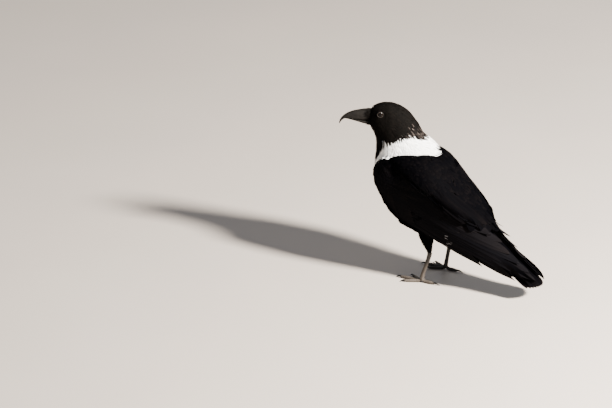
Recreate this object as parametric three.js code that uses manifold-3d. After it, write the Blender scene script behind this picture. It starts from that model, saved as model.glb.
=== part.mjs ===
// Pied crow (Corvus albus), life size, standing with folded wings and the head turned to its left.
// Millimetres. +X is the way the body faces, +Y its left side and +Z up. The feet stand on z = 0.
import * as THREE from "three";
import { mergeVertices } from "three/addons/utils/BufferGeometryUtils.js";
import Module from "manifold-3d";

const wasm = await Module();
wasm.setup();

// ---- driving dimensions ------------------------------------------------------------------------
const GAP = 0.35; // clearance between neighbouring pieces
const MERGE = 1e-3; // vertices closer than this are one
const SPAN = 300; // wider than the whole bird

const HEAD_TURN = THREE.MathUtils.degToRad(30); // to the bird's left
const TURN_X = 85; // the upright axis that the neck twists about
const TURN_LOW = 185; // the neck starts to twist at this height
const TURN_HIGH = 262; // and the head above this height is turned in full

const BACK_SLOPE = THREE.MathUtils.degToRad(41); // of the back, wings and tail, below the horizontal
const BACK_START = new THREE.Vector3(75, 0, 150); // lengths along the back are counted from here

const EYE = { x: 106.5, y: 14.4, z: 286, radius: 7.8 };

const LEG_Y = 36; // half the distance between the feet
const ANKLE = { x: -11, z: 57 };
const FOOT_X = { left: 4, right: -1 }; // the left foot is a little ahead
const TOE_RADIUS = 3.1;
const TOE_HEIGHT = 2.2; // of a toe's centre line: less than its radius, so that its pads are flat
const TOES = [
  // Angles are in degrees from straight ahead, outwards: of the toe itself, and of the two sides of
  // the room that it has among the others. Lengths are without the claw.
  { name: "middle", turn: 2, room: [-12, 15], length: 39, claw: 10, radius: 1.0 },
  { name: "inner", turn: -27, room: [-75, -12], length: 27, claw: 9, radius: 0.9 },
  { name: "outer", turn: 29, room: [15, 78], length: 28, claw: 9, radius: 0.88 },
  { name: "hind", turn: 180, room: [120, 240], length: 21, claw: 13, radius: 1.0 },
];
const FOOT_JOINT = 4.5; // radius of the joint that the toes spring from

// ---- colours -----------------------------------------------------------------------------------
const finish = (color, roughness) =>
  new THREE.MeshStandardMaterial({ color, roughness, metalness: 0 });
const BLACK = finish(0x0d0d10, 0.5);
const HOOD = finish(0x15120f, 0.6);
const WHITE = finish(0xf2f0ea, 0.85);
const HORN = finish(0x161515, 0.35);
const SCUTE = finish(0x1d1c1c, 0.5);
const IRIS = finish(0x24140c, 0.08);

// ---- making solids -----------------------------------------------------------------------------
// Smooth value at t (0 to 1) along a list of evenly spaced numbers.
function smooth(values, t) {
  const last = values.length - 1;
  const at = Math.min(Math.max(t, 0), 1) * last;
  const i = Math.min(Math.floor(at), last - 1);
  const f = at - i;
  const v1 = values[i];
  const v2 = values[i + 1];
  const v0 = i > 0 ? values[i - 1] : 2 * v1 - v2;
  const v3 = i + 2 <= last ? values[i + 2] : 2 * v2 - v1;
  const bend = (3 * (v1 - v2) + v3 - v0) * f + 2 * v0 - 5 * v1 + 4 * v2 - v3;
  return v1 + 0.5 * f * (v2 - v0 + f * bend);
}

// Every number of a list of stations, at t.
function station(stations, t) {
  const made = {};
  for (const key of Object.keys(stations[0])) {
    const pick = stations.map((s) => s[key]);
    made[key] = Array.isArray(pick[0])
      ? pick[0].map((_, k) => smooth(pick.map((p) => p[k]), t))
      : smooth(pick, t);
  }
  return made;
}

function toGeometry(positions, triangles) {
  const raw = new THREE.BufferGeometry();
  raw.setAttribute("position", new THREE.Float32BufferAttribute(positions, 3));
  raw.setIndex(triangles);
  return mergeVertices(raw, MERGE);
}

function toSolid(geometry) {
  const mesh = new wasm.Mesh({
    numProp: 3,
    vertProperties: geometry.attributes.position.array,
    triVerts: new Uint32Array(geometry.index.array),
  });
  return new wasm.Manifold(mesh);
}

function largestBody(solid) {
  const bodies = solid.decompose().sort((a, b) => b.volume() - a.volume());
  const mesh = bodies[0].getMesh();
  return toGeometry(Array.from(mesh.vertProperties), Array.from(mesh.triVerts));
}

// The largest body of a solid, as geometry. A crumb may hang on it by less than the width at which
// vertices merge, so it is looked for again once they are merged.
function fromSolid(solid) {
  return largestBody(toSolid(largestBody(solid)));
}

// A copy with every face moved out by a distance.
function grown(geometry, distance) {
  const copy = geometry.clone();
  copy.computeVertexNormals();
  const p = geometry.attributes.position;
  const n = copy.attributes.normal;
  const index = geometry.index.array;
  const corner = (k) => new THREE.Vector3().fromBufferAttribute(p, index[k]);
  const spread = new Array(p.count).fill(1);
  for (let f = 0; f < index.length; f += 3) {
    const face = new THREE.Triangle(corner(f), corner(f + 1), corner(f + 2));
    if (face.getArea() < 0.02) continue;
    const normal = face.getNormal(new THREE.Vector3());
    for (const vertex of index.slice(f, f + 3)) {
      const facing = normal.dot(new THREE.Vector3().fromBufferAttribute(n, vertex));
      spread[vertex] = Math.min(spread[vertex], Math.max(facing, 0.35));
    }
  }
  for (let i = 0; i < p.count; i++) {
    const move = new THREE.Vector3().fromBufferAttribute(n, i).multiplyScalar(distance / spread[i]);
    copy.attributes.position.setXYZ(i, p.getX(i) + move.x, p.getY(i) + move.y, p.getZ(i) + move.z);
  }
  copy.deleteAttribute("normal");
  return copy;
}

// A solid cut back so that it keeps clear of its neighbours, as geometry.
function clearOf(solid, ...neighbours) {
  for (const other of neighbours) {
    solid = solid.subtract(toSolid(other)).subtract(toSolid(grown(other, GAP)));
  }
  return fromSolid(solid);
}

// Turns every face the other way round.
function flipped(geometry) {
  const index = geometry.index.array;
  for (let i = 0; i < index.length; i += 3) {
    [index[i + 1], index[i + 2]] = [index[i + 2], index[i + 1]];
  }
  return geometry;
}

const mirrored = (geometry) => flipped(geometry.clone().scale(1, -1, 1));

// A closed skin over rings of points, with a point at each end.
function closeRings(rings) {
  const around = rings[0].length;
  const positions = [];
  const triangles = [];
  const middle = (ring) =>
    ring.reduce((sum, p) => sum.add(p), new THREE.Vector3()).divideScalar(ring.length);
  rings.forEach((ring) => ring.forEach((p) => positions.push(p.x, p.y, p.z)));
  const start = rings.length * around;
  const end = start + 1;
  for (const p of [middle(rings[0]), middle(rings[rings.length - 1])]) {
    positions.push(p.x, p.y, p.z);
  }
  for (let j = 0; j < around; j++) {
    const k = (j + 1) % around;
    triangles.push(start, k, j);
    for (let i = 0; i + 1 < rings.length; i++) {
      const a = i * around;
      const b = a + around;
      triangles.push(a + j, a + k, b + k, a + j, b + k, b + j);
    }
    const last = (rings.length - 1) * around;
    triangles.push(end, last + j, last + k);
  }
  const made = toGeometry(positions, triangles);
  return toSolid(made).volume() < 0 ? flipped(made) : made;
}

// A form that is symmetric about the plane y = 0. Each station has its under (or front) point and
// its top (or back) point as [x, z], half its width, and how far up from the under point it is widest.
function loft(stations, along, around, roundness = 1) {
  const rings = [];
  for (let i = 0; i <= along; i++) {
    const s = station(stations, i / along);
    const ring = [];
    for (let j = 0; j < around; j++) {
      const angle = (2 * Math.PI * j) / around;
      const c = Math.cos(angle);
      const side = Math.sin(angle);
      const reach = c > 0 ? 1 - s.wide : s.wide;
      const up = s.wide + Math.sign(c) * reach * Math.abs(c) ** roundness;
      ring.push(
        new THREE.Vector3(
          s.under[0] + (s.top[0] - s.under[0]) * up,
          s.width * Math.sign(side) * Math.abs(side) ** roundness,
          s.under[1] + (s.top[1] - s.under[1]) * up,
        ),
      );
    }
    rings.push(ring);
  }
  return closeRings(rings);
}

// A round limb along stations that give its centre, its radius and how flat it is from side to side.
function limb(stations, along, around, floor = -Infinity) {
  const run = new THREE.Vector3(...stations[stations.length - 1].at);
  run.sub(new THREE.Vector3(...stations[0].at));
  const level = Math.hypot(run.x, run.y) > Math.abs(run.z);
  const across = level ? new THREE.Vector3(-run.y, run.x, 0).normalize() : new THREE.Vector3(0, 1, 0);
  const rings = [];
  for (let i = 0; i <= along; i++) {
    const t = i / along;
    const s = station(stations, t);
    const centre = new THREE.Vector3(...s.at);
    const ahead = new THREE.Vector3(...station(stations, t + 0.01).at);
    const behind = new THREE.Vector3(...station(stations, t - 0.01).at);
    const path = ahead.sub(behind).normalize();
    const sideways = across.clone().addScaledVector(path, -across.dot(path)).normalize();
    const upwards = path.clone().cross(sideways);
    const ring = [];
    for (let j = 0; j < around; j++) {
      const angle = (2 * Math.PI * (j + 0.5)) / around;
      const p = centre
        .clone()
        .addScaledVector(sideways, Math.cos(angle) * s.radius * s.flat)
        .addScaledVector(upwards, Math.sin(angle) * s.radius);
      p.z = Math.max(p.z, floor);
      ring.push(p);
    }
    rings.push(ring);
  }
  return closeRings(rings);
}

// A closed sheet between an outer surface, outer(u, v), and the same surface set in by thick(u, v).
function sheet(outer, thick, along, across) {
  const step = 1e-3; // a short way along the surface, to find how it slopes
  const inner = (u, v) => {
    const du = outer(Math.min(u + step, 1), v).sub(outer(Math.max(u - step, 0), v));
    const dv = outer(u, Math.min(v + step, 1)).sub(outer(u, Math.max(v - step, 0)));
    const normal = du.cross(dv).normalize();
    return outer(u, v).addScaledVector(normal, -thick(u, v));
  };
  const rings = [];
  for (let i = 0; i <= along; i++) {
    const u = i / along;
    const ring = [];
    for (let j = 0; j <= across; j++) ring.push(outer(u, j / across));
    for (let j = across; j >= 0; j--) ring.push(inner(u, j / across));
    rings.push(ring);
  }
  return closeRings(rings);
}

// ---- body, neck and head -----------------------------------------------------------------------
const BODY_STATIONS = [
  { under: [-97, 93], top: [-100, 101], width: 9, wide: 0.5 }, // root of the tail
  { under: [-66, 83], top: [-87, 121], width: 28, wide: 0.52 }, // vent and rump
  { under: [-24, 81], top: [-62, 146], width: 41, wide: 0.52 }, // belly and lower back
  { under: [21, 87], top: [-40, 171], width: 47, wide: 0.52 },
  { under: [69, 102], top: [-21, 194], width: 50, wide: 0.52 }, // breastbone and back
  { under: [105, 136], top: [-6, 212], width: 50, wide: 0.55 }, // breast and mantle
  { under: [115, 168], top: [4, 226], width: 47, wide: 0.56 }, // shoulders
  { under: [115, 198], top: [17, 237], width: 41, wide: 0.54 }, // collar
  { under: [113, 225], top: [31, 246], width: 35, wide: 0.52 }, // throat and hind neck
  { under: [118, 248], top: [38, 260], width: 30, wide: 0.52 }, // chin and nape
  { under: [128, 265], top: [47, 274], width: 26, wide: 0.52 }, // gape
  { under: [129.5, 281], top: [56, 286], width: 22.3, wide: 0.5 }, // eyes
  { under: [122, 294], top: [69, 295.5], width: 17, wide: 0.5 }, // brow
  { under: [109, 300.6], top: [84, 301.5], width: 9, wide: 0.5 }, // crown
  { under: [98, 302.4], top: [94, 302.5], width: 2, wide: 0.5 },
];

// Turns a point of the neck or head about the upright neck axis, the more the higher it is.
function turnHead(geometry) {
  const p = geometry.attributes.position;
  for (let i = 0; i < p.count; i++) {
    const share = THREE.MathUtils.smoothstep(p.getZ(i), TURN_LOW, TURN_HIGH);
    const angle = HEAD_TURN * share;
    const x = p.getX(i) - TURN_X;
    const y = p.getY(i);
    p.setX(i, TURN_X + x * Math.cos(angle) - y * Math.sin(angle));
    p.setY(i, x * Math.sin(angle) + y * Math.cos(angle));
  }
  return geometry;
}

function bodyForm() {
  return turnHead(loft(BODY_STATIONS, 28, 20, 0.96));
}

// ---- bill and eyes -----------------------------------------------------------------------------
const BILL_UPPER_STATIONS = [
  { under: [112, 271.5], top: [112, 289.5], width: 10, wide: 0.3 },
  { under: [126, 270.6], top: [128, 291], width: 9.4, wide: 0.3 },
  { under: [140, 271], top: [143, 289.2], width: 7.9, wide: 0.28 },
  { under: [152, 272.2], top: [156, 286.2], width: 6.2, wide: 0.26 },
  { under: [161.5, 273], top: [166, 281.2], width: 4.5, wide: 0.3 },
  { under: [168.5, 272.2], top: [172.8, 275.2], width: 2.9, wide: 0.4 },
  { under: [173.2, 268.2], top: [176.2, 269.4], width: 1.7, wide: 0.5 },
  { under: [176.2, 263.6], top: [177.4, 263.8], width: 0.6, wide: 0.5 },
];
const BILL_LOWER_STATIONS = [
  { under: [112, 262.5], top: [112, 271.6], width: 9.2, wide: 0.75 },
  { under: [127, 262.6], top: [127, 271], width: 8.6, wide: 0.75 },
  { under: [140, 266], top: [140, 271.4], width: 7, wide: 0.75 },
  { under: [152, 269.4], top: [152, 272.6], width: 4.8, wide: 0.75 },
  { under: [162, 271.8], top: [162, 273.4], width: 2.6, wide: 0.7 },
  { under: [167, 272.6], top: [167, 273.2], width: 0.8, wide: 0.5 },
];

function eyeForm(side) {
  const ball = new THREE.SphereGeometry(EYE.radius, 14, 9);
  ball.deleteAttribute("normal");
  ball.deleteAttribute("uv");
  ball.translate(EYE.x, side * EYE.y, EYE.z);
  return turnHead(mergeVertices(ball, MERGE));
}

// ---- wings and tail ----------------------------------------------------------------------------
// A point of the folded wings or tail: how far down the back, how far out, and how high off the line
// that BACK_START and BACK_SLOPE give.
function onBack(down, out, high) {
  return new THREE.Vector3(
    BACK_START.x - down * Math.cos(BACK_SLOPE) - high * Math.sin(BACK_SLOPE),
    out,
    BACK_START.z - down * Math.sin(BACK_SLOPE) + high * Math.cos(BACK_SLOPE),
  );
}

// A part of the left wing. Each station gives how far down the back it is, its lower and upper edge
// as [out, high], how far it swells sideways and humps upwards between them, and its thickness.
function wingPart(stations, along, across) {
  const outer = (u, v) => {
    const s = station(stations, u);
    const [out0, high0] = s.lower;
    const [out3, high3] = s.upper;
    const p1 = [out0 + s.swell, high0 + 0.5 * (high3 - high0)];
    const p2 = [out3 + 0.62 * (out0 - out3), high3 + s.hump];
    const w = 1 - v;
    const mix = (k0, k1, k2, k3) =>
      w * w * w * k0 + 3 * w * w * v * k1 + 3 * w * v * v * k2 + v * v * v * k3;
    return onBack(s.down, mix(out0, p1[0], p2[0], out3), mix(high0, p1[1], p2[1], high3));
  };
  const thick = (u, v) => {
    const edge = Math.sqrt(Math.min(1, 4 * v * (1 - v) + 0.06));
    return Math.max(0.9, station(stations, u).thick * edge);
  };
  return sheet(outer, thick, along, across);
}

// Lesser and greater coverts, from the wrist back.
const COVERT_STATIONS = [
  { down: -50, lower: [40, 27], upper: [39, 38], swell: 1, hump: 0, thick: 9 },
  { down: -42, lower: [49.5, 17], upper: [41, 52], swell: 5, hump: 2, thick: 15 },
  { down: -26, lower: [54.2, 8], upper: [43, 65], swell: 9, hump: 3, thick: 17 },
  { down: -4, lower: [55.4, 1], upper: [46, 72], swell: 9, hump: 3, thick: 15 },
  { down: 20, lower: [54.4, -5], upper: [48, 78], swell: 9, hump: 2, thick: 13 },
  { down: 42, lower: [52.2, -8], upper: [48, 82], swell: 9, hump: 2, thick: 11 },
  { down: 62, lower: [50, -8], upper: [47, 84], swell: 8, hump: 2, thick: 9 },
  { down: 81, lower: [49, 10], upper: [45, 84], swell: 7, hump: 1, thick: 7 },
  { down: 97, lower: [50, 36], upper: [44, 84], swell: 5, hump: 0, thick: 5 },
  { down: 106, lower: [50, 58], upper: [43, 80], swell: 2, hump: 0, thick: 3 },
];

// Mantle side, scapulars and tertials: the cape over the folded wing.
const CAPE_STATIONS = [
  { down: -39, lower: [44, 53], upper: [41, 64], swell: 1, hump: 0, thick: 6 },
  { down: -28, lower: [50, 55], upper: [36, 77], swell: 3, hump: 3, thick: 9 },
  { down: -13, lower: [56.2, 58], upper: [24, 90], swell: 5, hump: 5, thick: 9 },
  { down: 3, lower: [59.6, 63], upper: [9, 102], swell: 5, hump: 8, thick: 11 },
  { down: 22, lower: [60.8, 68], upper: [3.5, 107], swell: 5, hump: 9, thick: 10 },
  { down: 42, lower: [60.6, 72], upper: [1.8, 106], swell: 4, hump: 8, thick: 10 },
  { down: 64, lower: [58, 75], upper: [1.2, 103.5], swell: 4, hump: 6, thick: 10 },
  { down: 86, lower: [54, 77], upper: [1, 102], swell: 4, hump: 4, thick: 9 },
  { down: 107, lower: [50, 79], upper: [1, 100.5], swell: 4, hump: 3, thick: 8 },
  { down: 127, lower: [43, 84], upper: [1, 99.5], swell: 3, hump: 2, thick: 6 },
  { down: 145, lower: [32, 91], upper: [1.2, 99], swell: 2, hump: 1, thick: 4.5 },
  { down: 160, lower: [17, 96], upper: [3, 98.5], swell: 1, hump: 0.3, thick: 3 },
];

// Folded flight feathers of the hand, down to the wing tip.
const PRIMARY_STATIONS = [
  { down: 52, lower: [46, 4], upper: [40, 66], swell: 6, hump: 1, thick: 6 },
  { down: 82, lower: [46, 5], upper: [38, 76], swell: 7, hump: 1, thick: 6 },
  { down: 112, lower: [44, 14], upper: [32, 84], swell: 7, hump: 1, thick: 6 },
  { down: 142, lower: [40, 26], upper: [20, 90], swell: 7, hump: 2, thick: 6 },
  { down: 172, lower: [35, 37], upper: [9, 94], swell: 6, hump: 2, thick: 5.5 },
  { down: 203, lower: [31, 49], upper: [7, 94.5], swell: 4, hump: 2, thick: 5 },
  { down: 230, lower: [28, 60], upper: [6, 95.5], swell: 3, hump: 2, thick: 4 },
  { down: 252, lower: [25.5, 71], upper: [6, 97], swell: 2, hump: 1, thick: 3 },
  { down: 270, lower: [19, 91], upper: [6, 98.5], swell: 0.5, hump: 0.5, thick: 2.2 },
  { down: 283, lower: [13.5, 97.5], upper: [7, 99.5], swell: 0.3, hump: 0.2, thick: 2 },
  { down: 291, lower: [11, 99], upper: [9, 100], swell: 0.1, hump: 0, thick: 1.6 },
];

function wingForm() {
  const coverts = toSolid(wingPart(COVERT_STATIONS, 10, 5));
  return fromSolid(coverts.add(toSolid(wingPart(PRIMARY_STATIONS, 11, 5))));
}

const TAIL = {
  root: 112, // all along the back, as for the wings
  tip: 297,
  rounding: 30, // the outer feathers end this much sooner
  half: [11, 15, 19, 25, 30],
  high: [82, 83, 85.5, 88.5, 92],
  arch: [2, 3, 4.5, 5.5, 6],
  thick: [8, 5.5, 4, 3, 2],
  feathers: 12,
  scallop: 2.5, // depth of the notch between two feather ends
};

function tailForm() {
  const outer = (u, v) => {
    const side = 2 * v - 1;
    const notch = TAIL.scallop * (1 - Math.abs(Math.sin(Math.PI * TAIL.feathers * v)));
    const end = TAIL.tip - TAIL.rounding * side * side - notch;
    const down = TAIL.root + (end - TAIL.root) * u;
    const t = (down - TAIL.root) / (TAIL.tip - TAIL.root);
    return onBack(
      down,
      -smooth(TAIL.half, t) * side,
      smooth(TAIL.high, t) - smooth(TAIL.arch, t) * side * side,
    );
  };
  return sheet(outer, (u) => smooth(TAIL.thick, u), 4, 24);
}

// ---- legs and feet -----------------------------------------------------------------------------
const THIGH_STATIONS = [
  { at: [0, LEG_Y - 10, 102], radius: 20, flat: 0.8 },
  { at: [-2, LEG_Y - 5, 88], radius: 16.5, flat: 0.82 },
  { at: [-6, LEG_Y - 1, 75], radius: 11, flat: 0.85 },
  { at: [-9.5, LEG_Y, 64], radius: 6.2, flat: 0.9 },
  { at: [ANKLE.x, LEG_Y, ANKLE.z], radius: 4.4, flat: 0.95 },
];

function tarsusForm(footX) {
  const midX = (ANKLE.x + footX) / 2;
  const stations = [
    { at: [ANKLE.x - 0.6, LEG_Y, ANKLE.z + 3.5], radius: 3.2, flat: 0.9 },
    { at: [ANKLE.x, LEG_Y, ANKLE.z - 1], radius: 4.3, flat: 0.85 },
    { at: [ANKLE.x + 2.2, LEG_Y, ANKLE.z - 10], radius: 3.8, flat: 0.75 },
    { at: [midX + 0.5, LEG_Y, 30], radius: 3.4, flat: 0.74 },
    { at: [footX - 1.8, LEG_Y, 15.5], radius: 3.6, flat: 0.8 },
    { at: [footX - 0.4, LEG_Y, 8], radius: 4.1, flat: 1 },
    { at: [footX, LEG_Y, TOE_HEIGHT + 0.8], radius: 3.7, flat: 1 },
  ];
  return limb(stations, 8, 7);
}

// Points of a toe or its claw, by how far out along it and how high they are.
function toeLine(toe, footX) {
  const angle = THREE.MathUtils.degToRad(toe.turn);
  return (along, z) => [footX + along * Math.cos(angle), LEG_Y + along * Math.sin(angle), z];
}

// The wedge of space that a toe has beside its neighbours.
function toeRoom(toe, footX) {
  const [low, high] = toe.room.map(THREE.MathUtils.degToRad);
  const middle = (low + high) / 2;
  const back = GAP / 2 / Math.sin((high - low) / 2);
  const from = new THREE.Vector2(footX + back * Math.cos(middle), LEG_Y + back * Math.sin(middle));
  const edge = [low, middle, high].map((angle) =>
    new THREE.Vector2(Math.cos(angle), Math.sin(angle)).multiplyScalar(90).add(from),
  );
  const wedge = new THREE.ExtrudeGeometry(new THREE.Shape([from, ...edge]), {
    depth: 30,
    bevelEnabled: false,
  });
  wedge.deleteAttribute("normal");
  wedge.deleteAttribute("uv");
  return toSolid(mergeVertices(wedge.translate(0, 0, -5), MERGE));
}

function footJoint(footX) {
  const post = new THREE.CylinderGeometry(FOOT_JOINT, FOOT_JOINT, 40, 16);
  post.deleteAttribute("normal");
  post.deleteAttribute("uv");
  return toSolid(mergeVertices(post.rotateX(Math.PI / 2).translate(footX, LEG_Y, 0), MERGE));
}

function toeForm(toe, footX) {
  const at = toeLine(toe, footX);
  const r = TOE_RADIUS * toe.radius;
  const stations = [
    { at: at(0, TOE_HEIGHT + 1), radius: r * 0.95, flat: 1 },
    { at: at(toe.length * 0.22, TOE_HEIGHT + 0.4), radius: r * 1.05, flat: 1 },
    { at: at(toe.length * 0.45, TOE_HEIGHT), radius: r * 0.95, flat: 0.95 },
    { at: at(toe.length * 0.65, TOE_HEIGHT), radius: r * 1.02, flat: 1 },
    { at: at(toe.length * 0.88, TOE_HEIGHT), radius: r * 0.9, flat: 0.95 },
    { at: at(toe.length, TOE_HEIGHT), radius: r * 0.7, flat: 0.9 },
  ];
  const solid = toSolid(limb(stations, 6, 8, 0));
  return fromSolid(solid.intersect(toeRoom(toe, footX)).subtract(footJoint(footX)));
}

function clawForm(toe, footX) {
  const at = toeLine(toe, footX);
  const start = toe.length + 2 * GAP;
  const stations = [
    { at: at(start, TOE_HEIGHT + 0.3), radius: 1.7, flat: 0.8 },
    { at: at(start + toe.claw * 0.35, TOE_HEIGHT + 1.1), radius: 1.5, flat: 0.75 },
    { at: at(start + toe.claw * 0.7, TOE_HEIGHT + 0.1), radius: 1, flat: 0.7 },
    { at: at(start + toe.claw, 0.6), radius: 0.35, flat: 0.8 },
  ];
  return limb(stations, 4, 6, 0);
}

// ---- parting the body --------------------------------------------------------------------------
// Each line is the edge of a region in the side view, as [x, z] points; turn swings it about the
// neck axis, as the neck itself is turned at that height.
const HEAD_EDGE = { turn: 30, line: [[-40, 266], [44, 264], [100, 250], [190, 236]] };
const HOOD_EDGE = {
  turn: 22,
  line: [[-40, 240], [30, 247], [50, 252], [76, 244], [94, 230], [104, 212], [122, 194], [180, 170]],
};
const COLLAR_EDGE = { turn: 5, line: [[10, 201], [70, 196], [180, 168]] };
const WHITE_EDGE = {
  turn: 0,
  line: [[-60, 196], [0, 216], [30, 219], [56, 206], [64, 176], [60, 110], [48, 30]],
};

// A thin wall right across the bird along such an edge.
function partingWall({ turn, line }) {
  const half = GAP / 2;
  const points = line.map(([x, z]) => new THREE.Vector2(x, z));
  const beside = (side) =>
    points.map((p, i) => {
      const before = points[Math.max(i - 1, 0)];
      const after = points[Math.min(i + 1, points.length - 1)];
      const along = after.clone().sub(before).normalize();
      return new THREE.Vector2(p.x - along.y * half * side, p.y + along.x * half * side);
    });
  const shape = new THREE.Shape([...beside(1), ...beside(-1).reverse()]);
  const wall = new THREE.ExtrudeGeometry(shape, { depth: SPAN, bevelEnabled: false });
  wall.deleteAttribute("normal");
  wall.deleteAttribute("uv");
  wall.rotateX(Math.PI / 2).translate(-TURN_X, SPAN / 2, 0);
  wall.rotateZ(THREE.MathUtils.degToRad(turn)).translate(TURN_X, 0, 0);
  return toSolid(mergeVertices(wall, MERGE));
}

// Cuts a solid along an edge into the part above or in front of it and the part below or behind.
function parted(solid, edge) {
  const bodies = solid.subtract(partingWall(edge)).decompose();
  return bodies.sort((a, b) => b.volume() - a.volume()).slice(0, 2);
}

// Of two solids, the one that lies higher, then the other.
function highestFirst(pair) {
  const middle = (solid) => solid.boundingBox().min[2] + solid.boundingBox().max[2];
  return pair.sort((a, b) => middle(b) - middle(a));
}

function partBody(whole) {
  const [front, trunk] = highestFirst(parted(toSolid(whole), WHITE_EDGE));
  const [hooded, vest] = highestFirst(parted(front, HOOD_EDGE));
  const [head, neck] = highestFirst(parted(hooded, HEAD_EDGE));
  const [collar, breast] = highestFirst(parted(vest, COLLAR_EDGE));
  return { head, neck, neck_collar: collar, breast, trunk };
}

// ---- assembly ----------------------------------------------------------------------------------
const crow = new THREE.Group();

function add(name, geometry, material) {
  const mesh = new THREE.Mesh(geometry, material.clone());
  mesh.name = name;
  crow.add(mesh);
}

const body = bodyForm();
const tail = clearOf(toSolid(tailForm()), body);
const billUpper = turnHead(loft(BILL_UPPER_STATIONS, 11, 12, 0.9));
const billLower = clearOf(toSolid(turnHead(loft(BILL_LOWER_STATIONS, 6, 10, 0.9))), billUpper);
const eyes = { left: eyeForm(1), right: eyeForm(-1) };
const flesh = partBody(clearOf(toSolid(body), billUpper, billLower, eyes.left, eyes.right));
const COATS = { head: HOOD, neck: HOOD, neck_collar: WHITE, breast: WHITE, trunk: BLACK };

for (const [name, solid] of Object.entries(flesh)) add(name, fromSolid(solid), COATS[name]);
add("tail", tail, BLACK);
add("bill_upper", billUpper, HORN);
add("bill_lower", billLower, HORN);

for (const [side, placed] of [["left", (g) => g], ["right", mirrored]]) {
  const cape = clearOf(toSolid(placed(wingPart(CAPE_STATIONS, 12, 6))), body);
  const wing = clearOf(toSolid(placed(wingForm())), body, tail, cape);
  const thigh = clearOf(toSolid(placed(limb(THIGH_STATIONS, 6, 10))), body);
  const footX = FOOT_X[side];
  const tarsus = clearOf(toSolid(placed(tarsusForm(footX))), thigh);
  add(`eye_${side}`, eyes[side], IRIS);
  add(`wing_${side}`, wing, BLACK);
  add(`wing_${side}_cape`, cape, BLACK);
  add(`thigh_${side}`, thigh, BLACK);
  add(`tarsus_${side}`, tarsus, SCUTE);
  for (const toe of TOES) {
    add(`toe_${side}_${toe.name}`, placed(toeForm(toe, footX)), SCUTE);
    add(`claw_${side}_${toe.name}`, placed(clawForm(toe, footX)), HORN);
  }
}

// The whole bird is centred over the origin.
const middle = new THREE.Box3().setFromObject(crow).getCenter(new THREE.Vector3());
crow.position.set(-middle.x, -middle.y, 0);

export default crow;
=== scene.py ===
"""A pied crow: one skin, its plumage as solid vanes, horn, scales and eyes, dressed over the fixed frame."""
import functools
import math
from collections import namedtuple

import bmesh
import bpy
import numpy as np
from mathutils import Matrix, Vector
from mathutils.bvhtree import BVHTree


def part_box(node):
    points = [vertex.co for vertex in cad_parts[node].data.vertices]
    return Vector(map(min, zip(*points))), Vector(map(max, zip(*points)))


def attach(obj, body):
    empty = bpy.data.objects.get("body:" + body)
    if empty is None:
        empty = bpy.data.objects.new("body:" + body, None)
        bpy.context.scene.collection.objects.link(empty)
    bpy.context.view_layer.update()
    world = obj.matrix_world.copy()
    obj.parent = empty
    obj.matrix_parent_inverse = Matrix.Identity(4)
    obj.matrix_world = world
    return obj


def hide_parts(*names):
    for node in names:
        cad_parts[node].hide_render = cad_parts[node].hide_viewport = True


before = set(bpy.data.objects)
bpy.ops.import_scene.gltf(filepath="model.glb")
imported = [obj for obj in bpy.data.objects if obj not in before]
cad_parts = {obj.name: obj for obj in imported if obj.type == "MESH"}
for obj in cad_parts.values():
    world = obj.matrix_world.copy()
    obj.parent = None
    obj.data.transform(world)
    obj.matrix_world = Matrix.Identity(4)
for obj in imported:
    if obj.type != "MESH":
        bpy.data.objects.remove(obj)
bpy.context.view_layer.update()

bl_info = {
    "name": "Pied crow",
    "version": (1, 0, 0),
    "blender": (4, 5, 0),
    "location": "View3D > Sidebar > Crow",
    "description": "Builds the skin, plumage, bill, eyes, legs and stage of a standing pied crow",
    "category": "Object",
}

MM = 0.001
SIDES = {"left": 1, "right": -1}
TOES = ("middle", "inner", "outer", "hind")
FLESH = ("head", "neck", "neck_collar", "breast", "trunk")
EYES = tuple(f"eye_{side}" for side in SIDES)
WINGS = tuple(f"wing_{side}{part}" for side in SIDES for part in ("", "_cape"))
THIGHS = tuple(f"thigh_{side}" for side in SIDES)
LEGS = (*(f"tarsus_{side}" for side in SIDES), *(f"toe_{side}_{toe}" for side in SIDES for toe in TOES))

# ---- the bird's own frame, in millimetres: x ahead, y to its left, z up from between the feet --------
HEAD_TURN = math.radians(30)
TURN_X = 85.0
TURN_LOW, TURN_HIGH = 185.0, 262.0
BACK_SLOPE = math.radians(41)
BACK_START = np.array([75.0, 0.0, 150.0])
EYE_AT = np.array([96.42, 23.22, 286.0])  # the left eye, with the head turned
BILL_ROOT = np.array([126.0, 0.0, 278.0])  # where the plumage of the face springs from, unturned


def middle(node):
    low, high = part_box(node)
    return (np.array(low) + np.array(high)) / 2


ORIGIN = np.array([middle("eye_left")[0] - EYE_AT[0] * MM, 0.0, 0.0])


def to_bird(points):
    """Points of the frame, in metres, as places on the bird, in millimetres."""
    return (np.asarray(points) - ORIGIN) / MM


def to_row(points):
    """The other way round."""
    return np.asarray(points) * MM + ORIGIN


def turned(points, way=1):
    """Bird-frame points with the turn of the head put on, or with way = -1 taken off."""
    share = np.clip((points[:, 2] - TURN_LOW) / (TURN_HIGH - TURN_LOW), 0, 1)
    angle = way * HEAD_TURN * share * share * (3 - 2 * share)
    x = points[:, 0] - TURN_X
    y = points[:, 1]
    return np.stack(
        [TURN_X + x * np.cos(angle) - y * np.sin(angle), x * np.sin(angle) + y * np.cos(angle), points[:, 2]],
        axis=1,
    )


DOWN_BACK = np.array([-math.cos(BACK_SLOPE), 0.0, -math.sin(BACK_SLOPE)])
OFF_BACK = np.array([-math.sin(BACK_SLOPE), 0.0, math.cos(BACK_SLOPE)])


def along_back(points):
    """How far down the back bird-frame points are, and how high off it."""
    off = points - BACK_START
    return off @ DOWN_BACK, off @ OFF_BACK


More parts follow.
